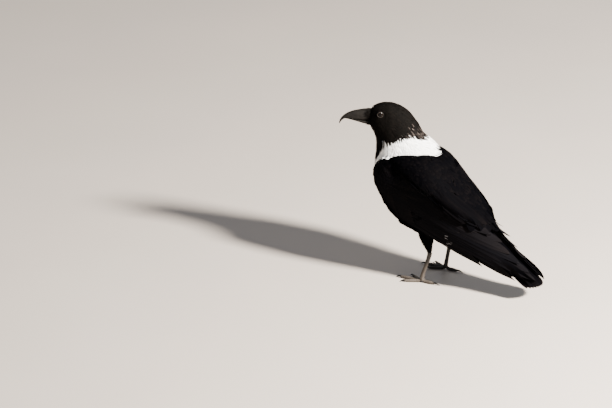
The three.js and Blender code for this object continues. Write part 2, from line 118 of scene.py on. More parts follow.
def on_back(down, out, high):
    """Places given by how far down the back, how far out and how high off it they are."""
    down, out, high = np.broadcast_arrays(down, out, high)
    flat = BACK_START + down[..., None] * DOWN_BACK + high[..., None] * OFF_BACK
    flat[..., 1] = out
    return flat


# Sections of the body from the tail's root to the crown: the under (or front) point and the top (or
# hind) point of each, as x and z, with the head unturned.
SECTIONS = np.array([
    [-97, 93, -100, 101], [-66, 83, -87, 121], [-24, 81, -62, 146], [21, 87, -40, 171], [69, 102, -21, 194],
    [105, 136, -6, 212], [115, 168, 4, 226], [115, 198, 17, 237], [113, 225, 31, 246], [118, 248, 38, 260],
    [128, 265, 47, 274], [129.5, 281, 56, 286], [122, 294, 69, 295.5], [98, 302.4, 94, 302.5],
])
SECTION_STEPS = 8

# Edges of the markings and of the wing's rows, each as places and the edge there.
HOOD_EDGE = (
    [-60, 32, 39, 49, 59, 76, 90, 96, 99, 104, 118, 150],
    [234, 240.5, 244, 247, 246.5, 239.5, 232, 225, 213, 204, 190, 182],
)
BACK_WHITE = (
    [-60, -12, -6, 1, 26, 45, 59, 72, 83, 98, 104],
    [260, 232, 217, 213, 214, 213, 210, 205, 198, 188, 182],
)
CAPE_WHITE = ([-32, -25, -12, -4, 4, 12, 25, 32], [26, 6, -4, -2, 4, 8, 16, 28])  # between the capes
CAPE_WHITE_LOW = 205
FRONT_WHITE = ([0, 30, 110, 176, 206, 230], [40, 48, 60, 64, 66, 70])
HEAD_COAT = (225, 262)  # from where to where up the neck the plumage gets as short as the head's
FACE_LIE = (236, 262)  # from where to where up the neck the plumage comes to lie away from the bill
CAPE_EDGE = ([-50, -19, 23, 57, 84, 104, 125, 138, 160], [40, 49, 70, 76, 77, 78, 88, 95, 99])
WING_LOW = ([-50, -37, 59, 116, 149, 188, 241, 275, 291], [27, 22, -8, 16, 29, 41, 64, 80, 98])


# ---- settings --------------------------------------------------------------------------------------
def length(name, description, default):
    return bpy.props.FloatProperty(name=name, description=description, default=default, unit="LENGTH")


def colour(name, description, default):
    return bpy.props.FloatVectorProperty(
        name=name, description=description, default=default, size=3, min=0, max=1, subtype="COLOR"
    )


class CrowSizes(bpy.types.PropertyGroup):
    """Sizes of the coat and of the small forms"""

    body_voxel: length("Form grain", "Grain of the form that the plumage follows", 0.0014)
    skin_voxel: length("Skin grain", "Grain of the skin under the plumage", 0.0021)
    leg_voxel: length("Leg grain", "Grain of the bare skin of the legs", 0.0006)
    head_coat: length("Head coat", "Depth of the plumage on the head", 0.0016)
    body_coat: length("Body coat", "Depth of the plumage on the body", 0.003)
    wing_coat: length("Wing coat", "Depth of the plumage on the wings", 0.0026)
    vane: length("Vane", "Thickness of a body feather's vane", 0.00028)
    quill_vane: length("Quill vane", "Thickness of a flight feather's vane", 0.0005)
    eye_opening: length("Eye opening", "Half the width between the lids", 0.0044)


class CrowColours(bpy.types.PropertyGroup):
    """Colours of the plumage and of the bare parts"""

    black: colour("Black", "Plumage of the wings, back, belly and tail", (0.0004, 0.00038, 0.0006))
    # The coverts' colour is the black made about three times lighter: painted light, standing in for light on
    # the side of the wings, which lies in shade.
    covert: colour("Coverts", "Plumage of the side of the wings", (0.0013, 0.0012, 0.0016))
    hood: colour("Hood", "Plumage of the head and throat", (0.0014, 0.0012, 0.001))
    worn: colour("Worn", "Worn brown tips and edges", (0.022, 0.016, 0.013))
    white: colour("White", "Plumage of the collar and breast", (0.82, 0.81, 0.78))
    cream: colour("Cream", "Worn edges of the white feathers", (0.6, 0.57, 0.52))
    faded: colour("Faded", "Faded tips on the nape", (0.1, 0.08, 0.07))
    # The down colour is also the pale grey of a few loose flecks low on the left flank: painted highlight on
    # sunlit, ruffled feather tips.
    down: colour("Down", "Grey down that shows between feathers", (0.09, 0.088, 0.09))
    horn: colour("Horn", "Bill and claws", (0.0004, 0.0004, 0.0004))
    # The dust colour is real dust on the bill, lids and scale joints, and also painted sunlight low on the
    # left leg.
    dust_and_sunlight: colour("Dust", "Dust on the legs and the bill's edge", (0.15, 0.12, 0.095))
    scale: colour("Scales", "Scales of the legs", (0.003, 0.0028, 0.0027))
    lid: colour("Lids", "Bare lids of the eyes", (0.0012, 0.001, 0.0009))
    iris: colour("Iris", "Iris of the eyes", (0.0035, 0.0018, 0.0012))
    floor: colour("Floor", "Floor of the stage", (0.39, 0.34, 0.295))


def sizes():
    return bpy.context.scene.crow_sizes


def colours():
    return bpy.context.scene.crow_colours


# ---- making meshes ---------------------------------------------------------------------------------
def select_none():
    bpy.ops.object.select_all(action="DESELECT")


def select_only(*objs):
    """Selects these objects alone; the first is the active one."""
    select_none()
    for obj in objs:
        obj.select_set(True)
    bpy.context.view_layer.objects.active = objs[0]


def new_object(name, mesh):
    obj = bpy.data.objects.new(name, mesh)
    bpy.context.scene.collection.objects.link(obj)
    return obj


def copied(name, nodes):
    """One new object that holds merged copies of CAD meshes."""
    made = bmesh.new()
    for node in nodes:
        made.from_mesh(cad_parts[node].data)
    bmesh.ops.remove_doubles(made, verts=made.verts, dist=1e-6)
    mesh = bpy.data.meshes.new(name)
    made.to_mesh(mesh)
    made.free()
    mesh.materials.clear()
    return new_object(name, mesh)


def edited(obj, operator, **values):
    """Runs one edit-mode operator on the whole mesh of an object."""
    select_only(obj)
    bpy.ops.object.mode_set(mode="EDIT")
    bpy.ops.mesh.select_all(action="SELECT")
    operator(**values)
    bpy.ops.object.mode_set(mode="OBJECT")


def shell(name, places, faces):
    """A closed shell made from its vertices and faces, with the faces turned outwards."""
    mesh = bpy.data.meshes.new(name)
    mesh.from_pydata(places, [], faces)
    obj = new_object(name, mesh)
    edited(obj, bpy.ops.mesh.normals_make_consistent, inside=False)
    return obj


def settled():
    """The newest primitive, with its place, turn and scale put into its mesh."""
    bpy.ops.object.transform_apply(location=True, rotation=True, scale=True)
    return bpy.context.object


def apply(obj, kind, **values):
    """Adds a modifier to an object and applies it."""
    select_only(obj)
    modifier = obj.modifiers.new(kind.lower(), kind)
    for key, value in values.items():
        setattr(modifier, key, value)
    bpy.ops.object.modifier_apply(modifier=modifier.name)
    return obj


def remeshed(obj, voxel, smoothing, swell=0.0):
    """Swells an object, remeshes it into one surface and smooths that."""
    if swell:
        apply(obj, "DISPLACE", strength=swell, mid_level=0.0)
    apply(obj, "REMESH", mode="VOXEL", voxel_size=voxel)
    return apply(obj, "SMOOTH", factor=0.5, iterations=smoothing)


def joined(name, parts):
    select_only(*parts)
    bpy.ops.object.join()
    parts[0].name = name
    return parts[0]


def shade_smooth(obj):
    select_only(obj)
    bpy.ops.object.shade_smooth()


ROUNDING_PASSES = 3


def smooth_copy(name, node, levels):
    """A finer copy of a CAD node, rounded so that it still passes through the node's corners."""
    obj = copied(name, [node])
    edited(obj, bpy.ops.mesh.tris_convert_to_quads)
    wanted = vertex_arrays(obj.data)[0]
    cage = wanted.copy()
    for _ in range(ROUNDING_PASSES):
        trial = new_object("trial", obj.data.copy())
        apply(trial, "SUBSURF", levels=levels, render_levels=levels)
        cage += wanted - vertex_arrays(trial.data)[0][: len(wanted)]
        bpy.data.objects.remove(trial)
        obj.data.vertices.foreach_set("co", cage.ravel())
    apply(obj, "SUBSURF", levels=levels, render_levels=levels)
    shade_smooth(obj)
    return obj


def numbers(things, name, width=1, kind=np.int32):
    """What a mesh's vertices, edges, corners or faces hold under a name, as an array."""
    values = np.empty(len(things) * width, dtype=kind)
    things.foreach_get(name, values)
    return values if width == 1 else values.reshape(-1, width)


def vertex_arrays(mesh):
    """The places and normals of a mesh's vertices."""
    return numbers(mesh.vertices, "co", 3, float), numbers(mesh.vertex_normals, "vector", 3, float)


def add_attribute(mesh, name, values):
    """Gives each vertex of a mesh a number that materials can read."""
    attribute = mesh.attributes.new(name, "FLOAT", "POINT")
    attribute.data.foreach_set("value", values.astype(np.float32))


def paint_faces(mesh, indices):
    """Sets which of the piece's materials each face has."""
    mesh.polygons.foreach_set("material_index", indices.astype(np.int32))


def basis(way):
    """A matrix whose z is the given way."""
    z = Vector(way).normalized()
    x = Vector((0, 0, 1)).cross(z).normalized()
    return Matrix((x, z.cross(x), z)).transposed()


def finish_piece(obj, slot, materials, *nodes):
    """Gives a finished piece its materials and the body that it rides on, and hides the nodes that it stands
    for. The slot is not used.
    """
    for material in materials:
        obj.data.materials.append(material)
    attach(obj, "root")
    if nodes:
        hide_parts(*nodes)


# ---- the form that the plumage follows -------------------------------------------------------------
class Surface:
    """A closed surface that points can be laid on."""

    def __init__(self, obj):
        mesh = obj.data
        self.places, facing = vertex_arrays(mesh)
        mesh.calc_loop_triangles()
        self.corners = numbers(mesh.loop_triangles, "vertices", 3)
        self.tree = BVHTree.FromPolygons(self.places.tolist(), self.corners.tolist())
        normal = facing[self.corners].mean(axis=1)
        self.normal = normal / np.linalg.norm(normal, axis=1, keepdims=True)
        a, b, c = (self.places[self.corners[:, k]] for k in range(3))
        self.area = np.linalg.norm(np.cross(b - a, c - a), axis=1) / 2

    def nearest(self, points):
        """The nearest places on the surface, their normals and how far off they are."""
        places = np.empty((len(points), 3))
        normals = np.empty((len(points), 3))
        gaps = np.empty(len(points))
        for i, point in enumerate(points):
            place, _, index, gap = self.tree.find_nearest(point)
            places[i] = place
            normals[i] = self.normal[index]
            gaps[i] = gap
        return places, normals, gaps

    def gap(self, points):
        return np.array([self.tree.find_nearest(point)[3] for point in points])

    def clearance(self, points, ways, start):
        """How far each point can go along its way before it meets the surface; infinite if never."""
        far = np.full(len(points), np.inf)
        for i, (point, way) in enumerate(zip(points + ways * start, ways)):
            hit = self.tree.ray_cast(point, way)
            if hit[0] is not None:
                far[i] = hit[3]
        return far

    def scattered(self, count, rng, weights=None):
        """Random places on the surface, and their normals."""
        chance = self.area if weights is None else self.area * weights
        picked = rng.choice(len(self.area), size=count, p=chance / chance.sum())
        u, v = rng.random(count), rng.random(count)
        over = u + v > 1
        u[over], v[over] = 1 - u[over], 1 - v[over]
        a, b, c = (self.places[self.corners[picked, k]] for k in range(3))
        return a + (b - a) * u[:, None] + (c - a) * v[:, None], self.normal[picked]


SWELL = 0.0003  # closes the gaps between neighbouring solids
CAPE_SWELL = SWELL * 2
WING_SWELL = 0.0016  # also makes up for what the smoothing takes off a wing's thin rim
# The grain that a part of the form is remade in, and how often it is smoothed.
BODY_REMAKE = (0.002, 22)
THIGH_REMAKE = (0.0016, 8)
WING_REMAKE = (0.0013, 5)

# The plumage that closes the back between the capes: how far down the back, half its width, and how
# high its top is.
RIDGE = [(-4, 14, 99), (10, 10, 104), (22, 8, 107), (42, 7, 106), (64, 6, 103.5), (86, 6, 102),
         (107, 6, 100.5), (127, 5, 99.5), (145, 4, 98.6), (156, 2, 98)]
RIDGE_DEPTH = 8.0
RIDGE_AROUND = 12
FLANK = ((9, 30, 100), (13, 8, 15))  # the loose plumage ahead of the thigh: its middle and half its size


def ridge():
    """A long low filling along the middle of the back."""
    around = RIDGE_AROUND
    angle = np.arange(around) * math.tau / around
    rings = [
        on_back(np.full(around, float(down)), half * np.cos(angle),
                top - RIDGE_DEPTH / 2 + RIDGE_DEPTH / 2 * np.sin(angle))
        for down, half, top in RIDGE
    ]
    faces = [tuple(range(around)), tuple(reversed(range((len(rings) - 1) * around, len(rings) * around)))]
    for k in range(len(rings) - 1):
        for j in range(around):
            n = (j + 1) % around
            faces.append((k * around + j, (k + 1) * around + j, (k + 1) * around + n, k * around + n))
    return shell("ridge", to_row(np.concatenate(rings)).tolist(), faces)


def flank(sign):
    """An egg of loose plumage low on the flank."""
    (x, y, z), half = FLANK
    select_none()
    bpy.ops.mesh.primitive_uv_sphere_add(
        segments=24, ring_count=16, radius=MM, location=to_row((x, sign * y, z)), scale=half
    )
    return settled()


@functools.cache
def body_form():
    """The whole feathered form, smooth, as one surface."""
    body = remeshed(copied("form_body", FLESH + EYES), *BODY_REMAKE, SWELL)
    thighs = joined("form_thighs", [copied("form_thighs", THIGHS), *map(flank, SIDES.values())])
    remeshed(thighs, *THIGH_REMAKE, SWELL)
    wings = []
    for node in WINGS:
        swell = CAPE_SWELL if node.endswith("_cape") else WING_SWELL
        wings.append(remeshed(copied(f"form_{node}", [node]), *WING_REMAKE, swell))
    whole = remeshed(joined("form", [body, thighs, ridge(), *wings]), sizes().body_voxel, 4)
    whole.hide_render = True
    return whole


@functools.cache
def form():
    return Surface(body_form())


def surface_of(scratch):
    """The surface of an object that isn't needed any more."""
    surface = Surface(scratch)
    bpy.data.objects.remove(scratch)
    return surface


@functools.cache
def frame_surface(nodes):
    return surface_of(copied("scratch", nodes))


@functools.cache
def bill_surface():
    halves = [smooth_copy(f"scratch_{part}", f"bill_{part}", 2) for part in ("upper", "lower")]
    return surface_of(joined("scratch", halves))


@functools.cache
def section_lines():
    """The body's sections, closely spaced, and the lie of the plumage at their two ends."""
    steps = (len(SECTIONS) - 1) * SECTION_STEPS
    at = np.linspace(0, len(SECTIONS) - 1, steps + 1)
    lines = np.stack([np.interp(at, range(len(SECTIONS)), SECTIONS[:, k]) for k in range(4)], axis=1)
    slopes = -np.gradient(lines, axis=0)
    for pair in (slopes[:, :2], slopes[:, 2:]):
        pair /= np.linalg.norm(pair, axis=1, keepdims=True) + 1e-9
    return lines, slopes


Place = namedtuple("Place", "row bird plain along up lie down high side wing thigh facing")


def placed(points, normals):
    """Where points of the surface are on the bird."""
    bird = to_bird(points)
    plain = turned(bird, -1)
    lines, slopes = section_lines()
    nearest = np.full(len(plain), np.inf)
    up = np.zeros(len(plain))
    index = np.zeros(len(plain), dtype=int)
    flat = plain[:, [0, 2]]
    for i, line in enumerate(lines):
        under, across = line[:2], line[2:] - line[:2]
        t = np.clip((flat - under) @ across / (across @ across), 0, 1)
        gap = np.linalg.norm(flat - under - t[:, None] * across, axis=1)
        closer = gap < nearest
        nearest[closer] = gap[closer]
        up[closer] = t[closer]
        index[closer] = i
    along = index / (len(lines) - 1)
    lie = (1 - up)[:, None] * slopes[index, :2] + up[:, None] * slopes[index, 2:]
    down, high = along_back(bird)
    off_wing, off_flesh, off_thigh = (frame_surface(nodes).gap(points) for nodes in (WINGS, FLESH, THIGHS))
    wing = (off_wing < off_flesh) & (off_wing < off_thigh)
    thigh = (off_thigh < off_flesh) & (off_thigh < off_wing)
    return Place(points, bird, plain, along, up, lie, down, high, np.sign(bird[:, 1]), wing, thigh, normals)


def chosen(place, keep):
    return Place(*[values[keep] for values in place])


def smoothstep(value, low, high):
    t = np.clip((value - low) / (high - low), 0, 1)
    return t * t * (3 - 2 * t)


def unit(vectors):
    return vectors / (np.linalg.norm(vectors, axis=-1, keepdims=True) + 1e-12)


def flat_to(vectors, normals):
    return unit(vectors - (vectors * normals).sum(axis=-1, keepdims=True) * normals)


def wing_rise(place):
    """How steeply the wing's feathers rise off the line of the back, in radians."""
    top = np.interp(place.down, *CAPE_EDGE)
    low = np.interp(place.down, *WING_LOW)
    share = np.clip((top - place.high) / np.maximum(top - low, 12), 0, 1)
    return np.radians(1 + 19 * share) * smoothstep(place.down, -60, 60)


def beside_eye(points, side):
    """How far points of the row's frame lie from the line that an eye looks along, and that way off."""
    centre, way, _ = eye_frame(side)
    off = points - centre
    ahead = off @ way
    off = off - ahead[:, None] * way
    gap = np.linalg.norm(off, axis=1)
    return np.where(ahead > 0, gap, np.inf), off / (gap[:, None] + 1e-9)


EYE_PARTING = 0.0075  # how far round an eye the feathers lie away from it


def lie_of_coat(place):
    """The way that the plumage lies at each place, along the surface."""
    x, z = place.plain[:, 0], place.plain[:, 2]
    body = np.stack([place.lie[:, 0], np.zeros(len(x)), place.lie[:, 1]], axis=1)
    from_bill = unit(place.plain - BILL_ROOT)
    sag = np.clip((116 - x) / 60, 0, 1) * 0.9
    head = from_bill + np.stack([np.zeros(len(x)), np.zeros(len(x)), -sag], axis=1)
    share = smoothstep(z, *FACE_LIE)[:, None]
    plain = unit(head) * share + body * (1 - share)
    angle = HEAD_TURN * smoothstep(z, TURN_LOW, TURN_HIGH)
    lie = np.stack(
        [plain[:, 0] * np.cos(angle) - plain[:, 1] * np.sin(angle),
         plain[:, 0] * np.sin(angle) + plain[:, 1] * np.cos(angle), plain[:, 2]],
        axis=1,
    )
    rise = wing_rise(place)
    wing = np.cos(rise)[:, None] * DOWN_BACK + np.sin(rise)[:, None] * OFF_BACK
    lie = np.where(place.wing[:, None], wing, lie)
    lie = np.where(place.thigh[:, None], np.array([-0.25, 0.0, -1.0]), lie)
    for side in SIDES:
        gap, off = beside_eye(place.row, side)
        lie = unit(lie) + 1.5 * off * np.exp(-((gap / EYE_PARTING) ** 2))[:, None]
    return flat_to(lie, place.facing)


def eye_room(points):
    """How far each point is outside the openings between the lids."""
    return np.min([beside_eye(points, side)[0] for side in SIDES], axis=0) - sizes().eye_opening


# The marks, in the order of the coat's materials.
# The fifth mark is pale grey, painted highlight on a few ruffled flank feathers; the sixth is a lighter copy
# of the black, painted light on the shaded side of the wings.
BLACK, HOOD, WHITE, NAPE, PAINTED_HIGHLIGHT_FLECK, COVERT_PAINTED_LIGHT = range(6)


def marking(place):
    """Which plumage grows at each place."""
    plain_x, plain_z = place.plain[:, 0], place.plain[:, 2]
    x, z = place.bird[:, 0], place.bird[:, 2]
    hood = plain_z > np.interp(plain_x, *HOOD_EDGE)
    above = ~place.wing & (z > np.interp(x, *BACK_WHITE))
    inner = place.wing & (place.facing[:, 1] * place.side < 0.0) & (z > CAPE_WHITE_LOW)
    above |= inner & (x > np.interp(place.bird[:, 1], *CAPE_WHITE))
    breast = ~place.wing & ~place.thigh & (x > np.interp(z, *FRONT_WHITE))
    return np.where(hood, HOOD, np.where(above | breast, WHITE, BLACK))


# ---- feathers --------------------------------------------------------------------------------------
# A feather's outline: how far along each row is, and how wide it is there.
OUTLINES = {
    "bristle": ([0, 0.35, 0.7, 1], [0.7, 1, 0.7, 0.08]),
    "fine": ([0, 0.4, 0.8, 1], [0.5, 1, 0.8, 0.16]),
    "round": ([0, 0.3, 0.6, 0.8, 0.93, 1], [0.35, 0.86, 1, 0.92, 0.62, 0.12]),
    "lance": ([0, 0.25, 0.55, 0.82, 1], [0.45, 1, 0.88, 0.5, 0.05]),
    "quill": (
        [0, 0.06, 0.14, 0.25, 0.37, 0.49, 0.6, 0.7, 0.79, 0.86, 0.915, 0.955, 0.982, 1],
        [0.16, 0.4, 0.72, 0.92, 1, 1, 0.99, 0.97, 0.93, 0.86, 0.74, 0.57, 0.36, 0.05],
    ),
    "covert": (
        [0, 0.15, 0.35, 0.55, 0.72, 0.85, 0.94, 0.985, 1],
        [0.3, 0.7, 0.95, 1, 0.97, 0.84, 0.58, 0.3, 0.06],
    ),
}
# A vane's section: places across it from -1 to 1, and heights, as a part of its thickness; first
# over the top from the left rim to the right one, then back underneath.
SECTION_PLAIN = ([1, 0, -1, 0], [0, 0.5, 0, -0.5])
SECTION_QUILL = (
    [1, 0.5, 0.07, 0, -0.07, -0.5, -1, -0.5, 0, 0.5],
    [0, 0.45, 0.45, 1.5, 0.45, 0.45, 0, -0.4, -0.9, -0.4],
)


PATCH = 0.003  # a feather's size on the unwrap
UNWRAP_MARGIN = 0.004


class Coat:
    """Collects feathers, and makes them into one mesh."""

    def __init__(self):
        self.batches = []

    def add(self, points, normals, widths, outline, section, thickness, lifts, marks, roots_uv, rng,
            camber=0.12, bank=0.0, shaft_at=0.5):
        """Adds feathers whose spines are given by rows of points and normals on the form.

        lifts are how far off the form the root and the tip are, bank is how far the left rim rises
        over the right one, and shaft_at is where across the vane the shaft runs."""
        fractions, profile = (np.array(values) for values in OUTLINES[outline])
        across, heights = (np.array(values) for values in section)
        rows, count = points.shape[:2]
        ahead = np.gradient(points, axis=0)
        ahead = flat_to(ahead, normals)
        left = np.cross(normals, ahead)
        bank = np.broadcast_to(bank, count)[None, :, None]
        tilted_left = left * np.cos(bank) + normals * np.sin(bank)
        tilted_up = normals * np.cos(bank) - left * np.sin(bank)
        root_lift, tip_lift = (np.broadcast_to(value, count) for value in lifts)
        rise = root_lift[None] + (tip_lift - root_lift)[None] * (fractions ** 1.4)[:, None]
        spine = points + normals * rise[..., None]
        half = profile[:, None] * widths[None] / 2
        shaft_at = np.broadcast_to(shaft_at, count)
        reach = np.where(
            across[None, :] > 0, 2 * shaft_at[:, None] * across, 2 * (1 - shaft_at)[:, None] * across
        )
        side = half[..., None] * reach[None]
        thick = thickness * (0.2 + 0.8 * np.sin(np.pi * np.clip(fractions, 0.08, 0.97)))
        up = thick[:, None, None] * heights - camber * np.abs(reach)[None] ** 1.6 * half[..., None]
        vertices = (
            spine[:, :, None]
            + tilted_left[:, :, None] * side[..., None]
            + tilted_up[:, :, None] * up[..., None]
        )
        points_round = len(across)
        vertices = vertices.transpose(1, 0, 2, 3).reshape(-1, 3)
        ring = np.arange(points_round)
        nexts = (ring + 1) % points_round
        faces = []
        for k in range(rows - 1):
            a, b = k * points_round, (k + 1) * points_round
            faces.append(np.stack([a + ring, a + nexts, b + nexts, b + ring], axis=1))
        ends = []
        for k in range((points_round - 2) // 2):
            quad = np.array([k, k + 1, points_round - 2 - k, points_round - 1 - k])
            ends.append(quad[::-1])
            ends.append(quad + (rows - 1) * points_round)
        one = np.concatenate(faces + [np.array(ends)])
        size = rows * points_round
        faces = (one[None] + (np.arange(count) * size)[:, None, None]).reshape(-1, 4)
        vane_x = np.broadcast_to(across[None, None] * profile[:, None, None], (rows, count, points_round))
        spans = np.linalg.norm(points[-1] - points[0], axis=1)
        vane_y = np.broadcast_to((fractions[:, None] * np.ones(count))[..., None], vane_x.shape)
        vane = np.stack([vane_x, vane_y], axis=-1).transpose(1, 0, 2, 3).reshape(-1, 2)
        tone = np.repeat(rng.random(count), size)
        span = np.repeat(spans, size)
        roots = np.repeat(roots_uv, size, axis=0)
        rim = np.tile(np.tile((np.abs(across) == 1) * np.sign(across), rows), count)
        marks = np.repeat(marks, len(one))
        self.batches.append((vertices, faces, vane, roots, tone, span, rim, marks))

    def mesh(self, name):
        """One mesh of all the feathers, with its UV maps, attributes and marks."""
        vertices, vane, roots, tone, span, rim, marks = (
            np.concatenate([batch[k] for batch in self.batches]) for k in (0, 2, 3, 4, 5, 6, 7)
        )
        starts = np.cumsum([0] + [len(batch[0]) for batch in self.batches])
        faces = np.concatenate([batch[1] + start for batch, start in zip(self.batches, starts)])
        low, high = roots.min(axis=0), roots.max(axis=0)
        bake = UNWRAP_MARGIN + (1 - 2 * UNWRAP_MARGIN) * (roots - low) / np.maximum(high - low, 1e-6)
        bake += PATCH * np.stack([vane[:, 0] * 0.5, vane[:, 1] - 0.5], axis=1)
        mesh = bpy.data.meshes.new(name)
        mesh.from_pydata(vertices, [], faces)
        corners = numbers(mesh.loops, "vertex_index")
        for layer_name, values in (("OFBake", bake), ("Vane", vane)):
            layer = mesh.uv_layers.new(name=layer_name)
            layer.data.foreach_set("uv", values[corners].ravel())
        add_attribute(mesh, "tone", tone)
        add_attribute(mesh, "span", span)
        paint_faces(mesh, marks)
        mesh.polygons.foreach_set("use_smooth", np.ones(len(mesh.polygons), dtype=bool))
        ends = numbers(mesh.edges, "vertices", 2)
        sharp = (rim[ends[:, 0]] != 0) & (rim[ends[:, 0]] == rim[ends[:, 1]])
        mesh.edges.foreach_set("use_edge_sharp", sharp)
        mesh.update()
        return mesh


def marched(roots, ways, lengths, fractions, reach=0.004, surface=None, steady=None):
    """Spines that start at roots and follow a surface. Past its edge they run straight on.

    With steady, they also run straight on where the surface has turned that far from the root."""
    surface = surface or form()
    here, way = roots.copy(), ways.copy()
    points, normals = [], []
    facing = None
    for k, fraction in enumerate(fractions):
        if k:
            here = here + way * ((fraction - fractions[k - 1]) * lengths)[:, None]
        laid, normal, gap = surface.nearest(here)
        if facing is not None:
            free = (gap > reach) | ((normal * facing).sum(axis=1) < 0.3)
            if steady is not None:
                free |= (normal * normals[0]).sum(axis=1) < steady
            laid[free] = here[free]
            normal[free] = facing[free]
        here, facing = laid, normal
        way = flat_to(way, facing)
        points.append(here)
        normals.append(facing)
    return np.array(points), np.array(normals)


def unwrapped(place):
    """Places on an unwrap of the skin: round the body and along it, and the wings beside it."""
    centre = place.up - 0.5
    round_body = np.arctan2(place.bird[:, 1] / 45, -centre * 2) / (2 * np.pi) + 0.5
    body = np.stack([round_body, place.along], axis=1)
    wing = np.stack([0.5 + place.side * (0.02 + 0.46 * np.clip((place.high + 20) / 135, 0, 1)),
                     np.clip((place.down + 60) / 360, 0, 1)], axis=1)
    return np.where(place.wing[:, None], wing, body)


# ---- tracts of body feathers -----------------------------------------------------------------------
# Sizes in millimetres: how far apart the roots are, a feather's length and width, how far the root
# lies in and the tip stands out, and how far its direction strays, in degrees.
Tract = namedtuple("Tract", "name spacing length width outline sink lift stray")
TRACTS = [
    Tract("face", 1.1, 4.6, 1.05, "fine", 1.1, 0.1, 9),
    Tract("crown", 1.3, 8.5, 1.5, "fine", 1.5, 0.2, 9),
    Tract("cheek", 1.3, 8.5, 1.5, "fine", 1.5, 0.2, 10),
    Tract("nape", 1.9, 12.5, 2.6, "lance", 1.8, 0.6, 14),
    Tract("throat", 1.7, 18.0, 2.4, "lance", 1.6, 0.9, 8),
    Tract("hood", 1.6, 12.0, 2.1, "lance", 1.5, 0.5, 10),
    Tract("collar", 1.9, 15.0, 2.9, "lance", 2.2, 0.6, 9),
    Tract("breast", 2.9, 20.0, 6.0, "round", 2.4, 0.5, 8),
    Tract("belly", 3.4, 24.0, 7.0, "round", 2.4, 0.6, 9),
    Tract("rump", 4.6, 27.0, 11.0, "round", 2.4, 0.3, 8),
    Tract("thigh", 2.1, 12.0, 3.2, "lance", 1.4, 0.6, 9),
    Tract("mantle", 3.1, 17.0, 7.0, "round", 1.4, 0.3, 6),
    Tract("scapulars", 4.4, 26.0, 10.5, "covert", 1.4, 0.25, 4),
    Tract("lesser_coverts", 2.8, 12.0, 5.6, "round", 1.1, 0.45, 6),
    Tract("wing_base", 4.6, 22.0, 10.0, "round", 1.5, -0.25, 5),
    Tract("under_wing", 5.0, 20.0, 9.0, "round", 1.2, -0.1, 5),
]
TRACT_OF = {tract.name: i for i, tract in enumerate(TRACTS)}
DEEP = 0.55  # how much deeper than the form's surface a tip lies, in millimetres
LOOSE = 0.0018  # a feather whose tip would come further than this off the form is left out
WING_TRACTS = {"mantle", "scapulars", "lesser_coverts", "wing_base", "under_wing"}
WING_LOOSE = 0.0032
WING_STEADY = 0.74  # the cosine of how far the wing may turn under a feather that still follows it
LID_EDGE = 0.006  # how far round the lids the feathers are shorter and lie higher


def tract_at(place):
    """The tract that each place belongs to."""
    x, z = place.plain[:, 0], place.plain[:, 2]
    hood = z > np.interp(x, *HOOD_EDGE)
    from_bill = np.linalg.norm(place.plain - BILL_ROOT, axis=1)
    cape = place.high > np.interp(place.down, *CAPE_EDGE)
    inward = place.facing[:, 1] * place.side < -0.25
    tests = [
        (place.wing & inward & (place.facing[:, 2] < 0.6), "under_wing"),
        (place.wing & cape & (place.down < 12), "mantle"),
        (place.wing & cape, "scapulars"),
        (place.wing & (place.down < np.interp(place.high, [-10, 25, 75], [-4, 2, 34])), "lesser_coverts"),
        (place.wing, "wing_base"),
        (place.thigh, "thigh"),
        (hood & (from_bill < 37), "face"),
        (hood & (z > 278), "crown"),
        (hood & (z > 262) & (x > 62), "cheek"),
        (hood & (x < 66), "nape"),
        (hood & (x > 92), "throat"),
        (hood, "hood"),
        ((z > 196), "collar"),
        (place.bird[:, 0] > np.interp(place.bird[:, 2], *FRONT_WHITE) - 6, "breast"),
        ((place.up > 0.5), "rump"),
    ]
    return np.select([test for test, _ in tests], [TRACT_OF[name] for _, name in tests], TRACT_OF["belly"])


def thinned(points, spacing):
    """Indices of points that keep their distance from the ones before them."""
    kept = []
    cells = {}
    keys = np.floor(points / spacing).astype(int)
    around = [(i, j, k) for i in (-1, 0, 1) for j in (-1, 0, 1) for k in (-1, 0, 1)]
    for index, (key, point) in enumerate(zip(map(tuple, keys), points)):
        near = False
        for i, j, k in around:
            for other in cells.get((key[0] + i, key[1] + j, key[2] + k), ()):
                off = point - points[other]
                if off @ off < spacing * spacing:
                    near = True
                    break
            if near:
                break
        if not near:
            cells.setdefault(key, []).append(index)
            kept.append(index)
    return np.array(kept, dtype=int)


OPEN_AIR = 0.009  # body feathers grow only where the form has this much air over it
RIM_DEPTH = 0.009  # the form is deeper than this, straight in, only at the thin rim of a folded wing
CROWD = 3.2  # how many random places are tried for each root that fits


@functools.cache
def feather_roots():
    """Roots of all the body feathers, by tract."""
    rng = np.random.default_rng(11)
    surface = form()
    centres = surface.places[surface.corners].mean(axis=1)
    where = placed(centres, surface.normal)
    tracts = tract_at(where)
    open_air = surface.clearance(centres, surface.normal, 0.0008) > OPEN_AIR
    depth = surface.clearance(centres, -surface.normal, 0.0004)
    rim = where.wing & (where.down > 55) & (depth > RIM_DEPTH)
    hem = where.wing & (where.down > 62) & (where.high < np.interp(where.down, *WING_LOW) + 4)
    last = where.wing & (where.down > 150)
    open_air &= ~(rim | hem | last)
    roots = {}
    for i, tract in enumerate(TRACTS):
        wanted = (tracts == i) & open_air
        area = surface.area[wanted].sum()
        if area == 0:
            continue
        spacing = tract.spacing * MM
        count = int(CROWD * area / spacing ** 2)
        points, normals = surface.scattered(count, rng, wanted.astype(float))
        kept = thinned(points, spacing)
        roots[tract.name] = placed(points[kept], normals[kept])
    return roots


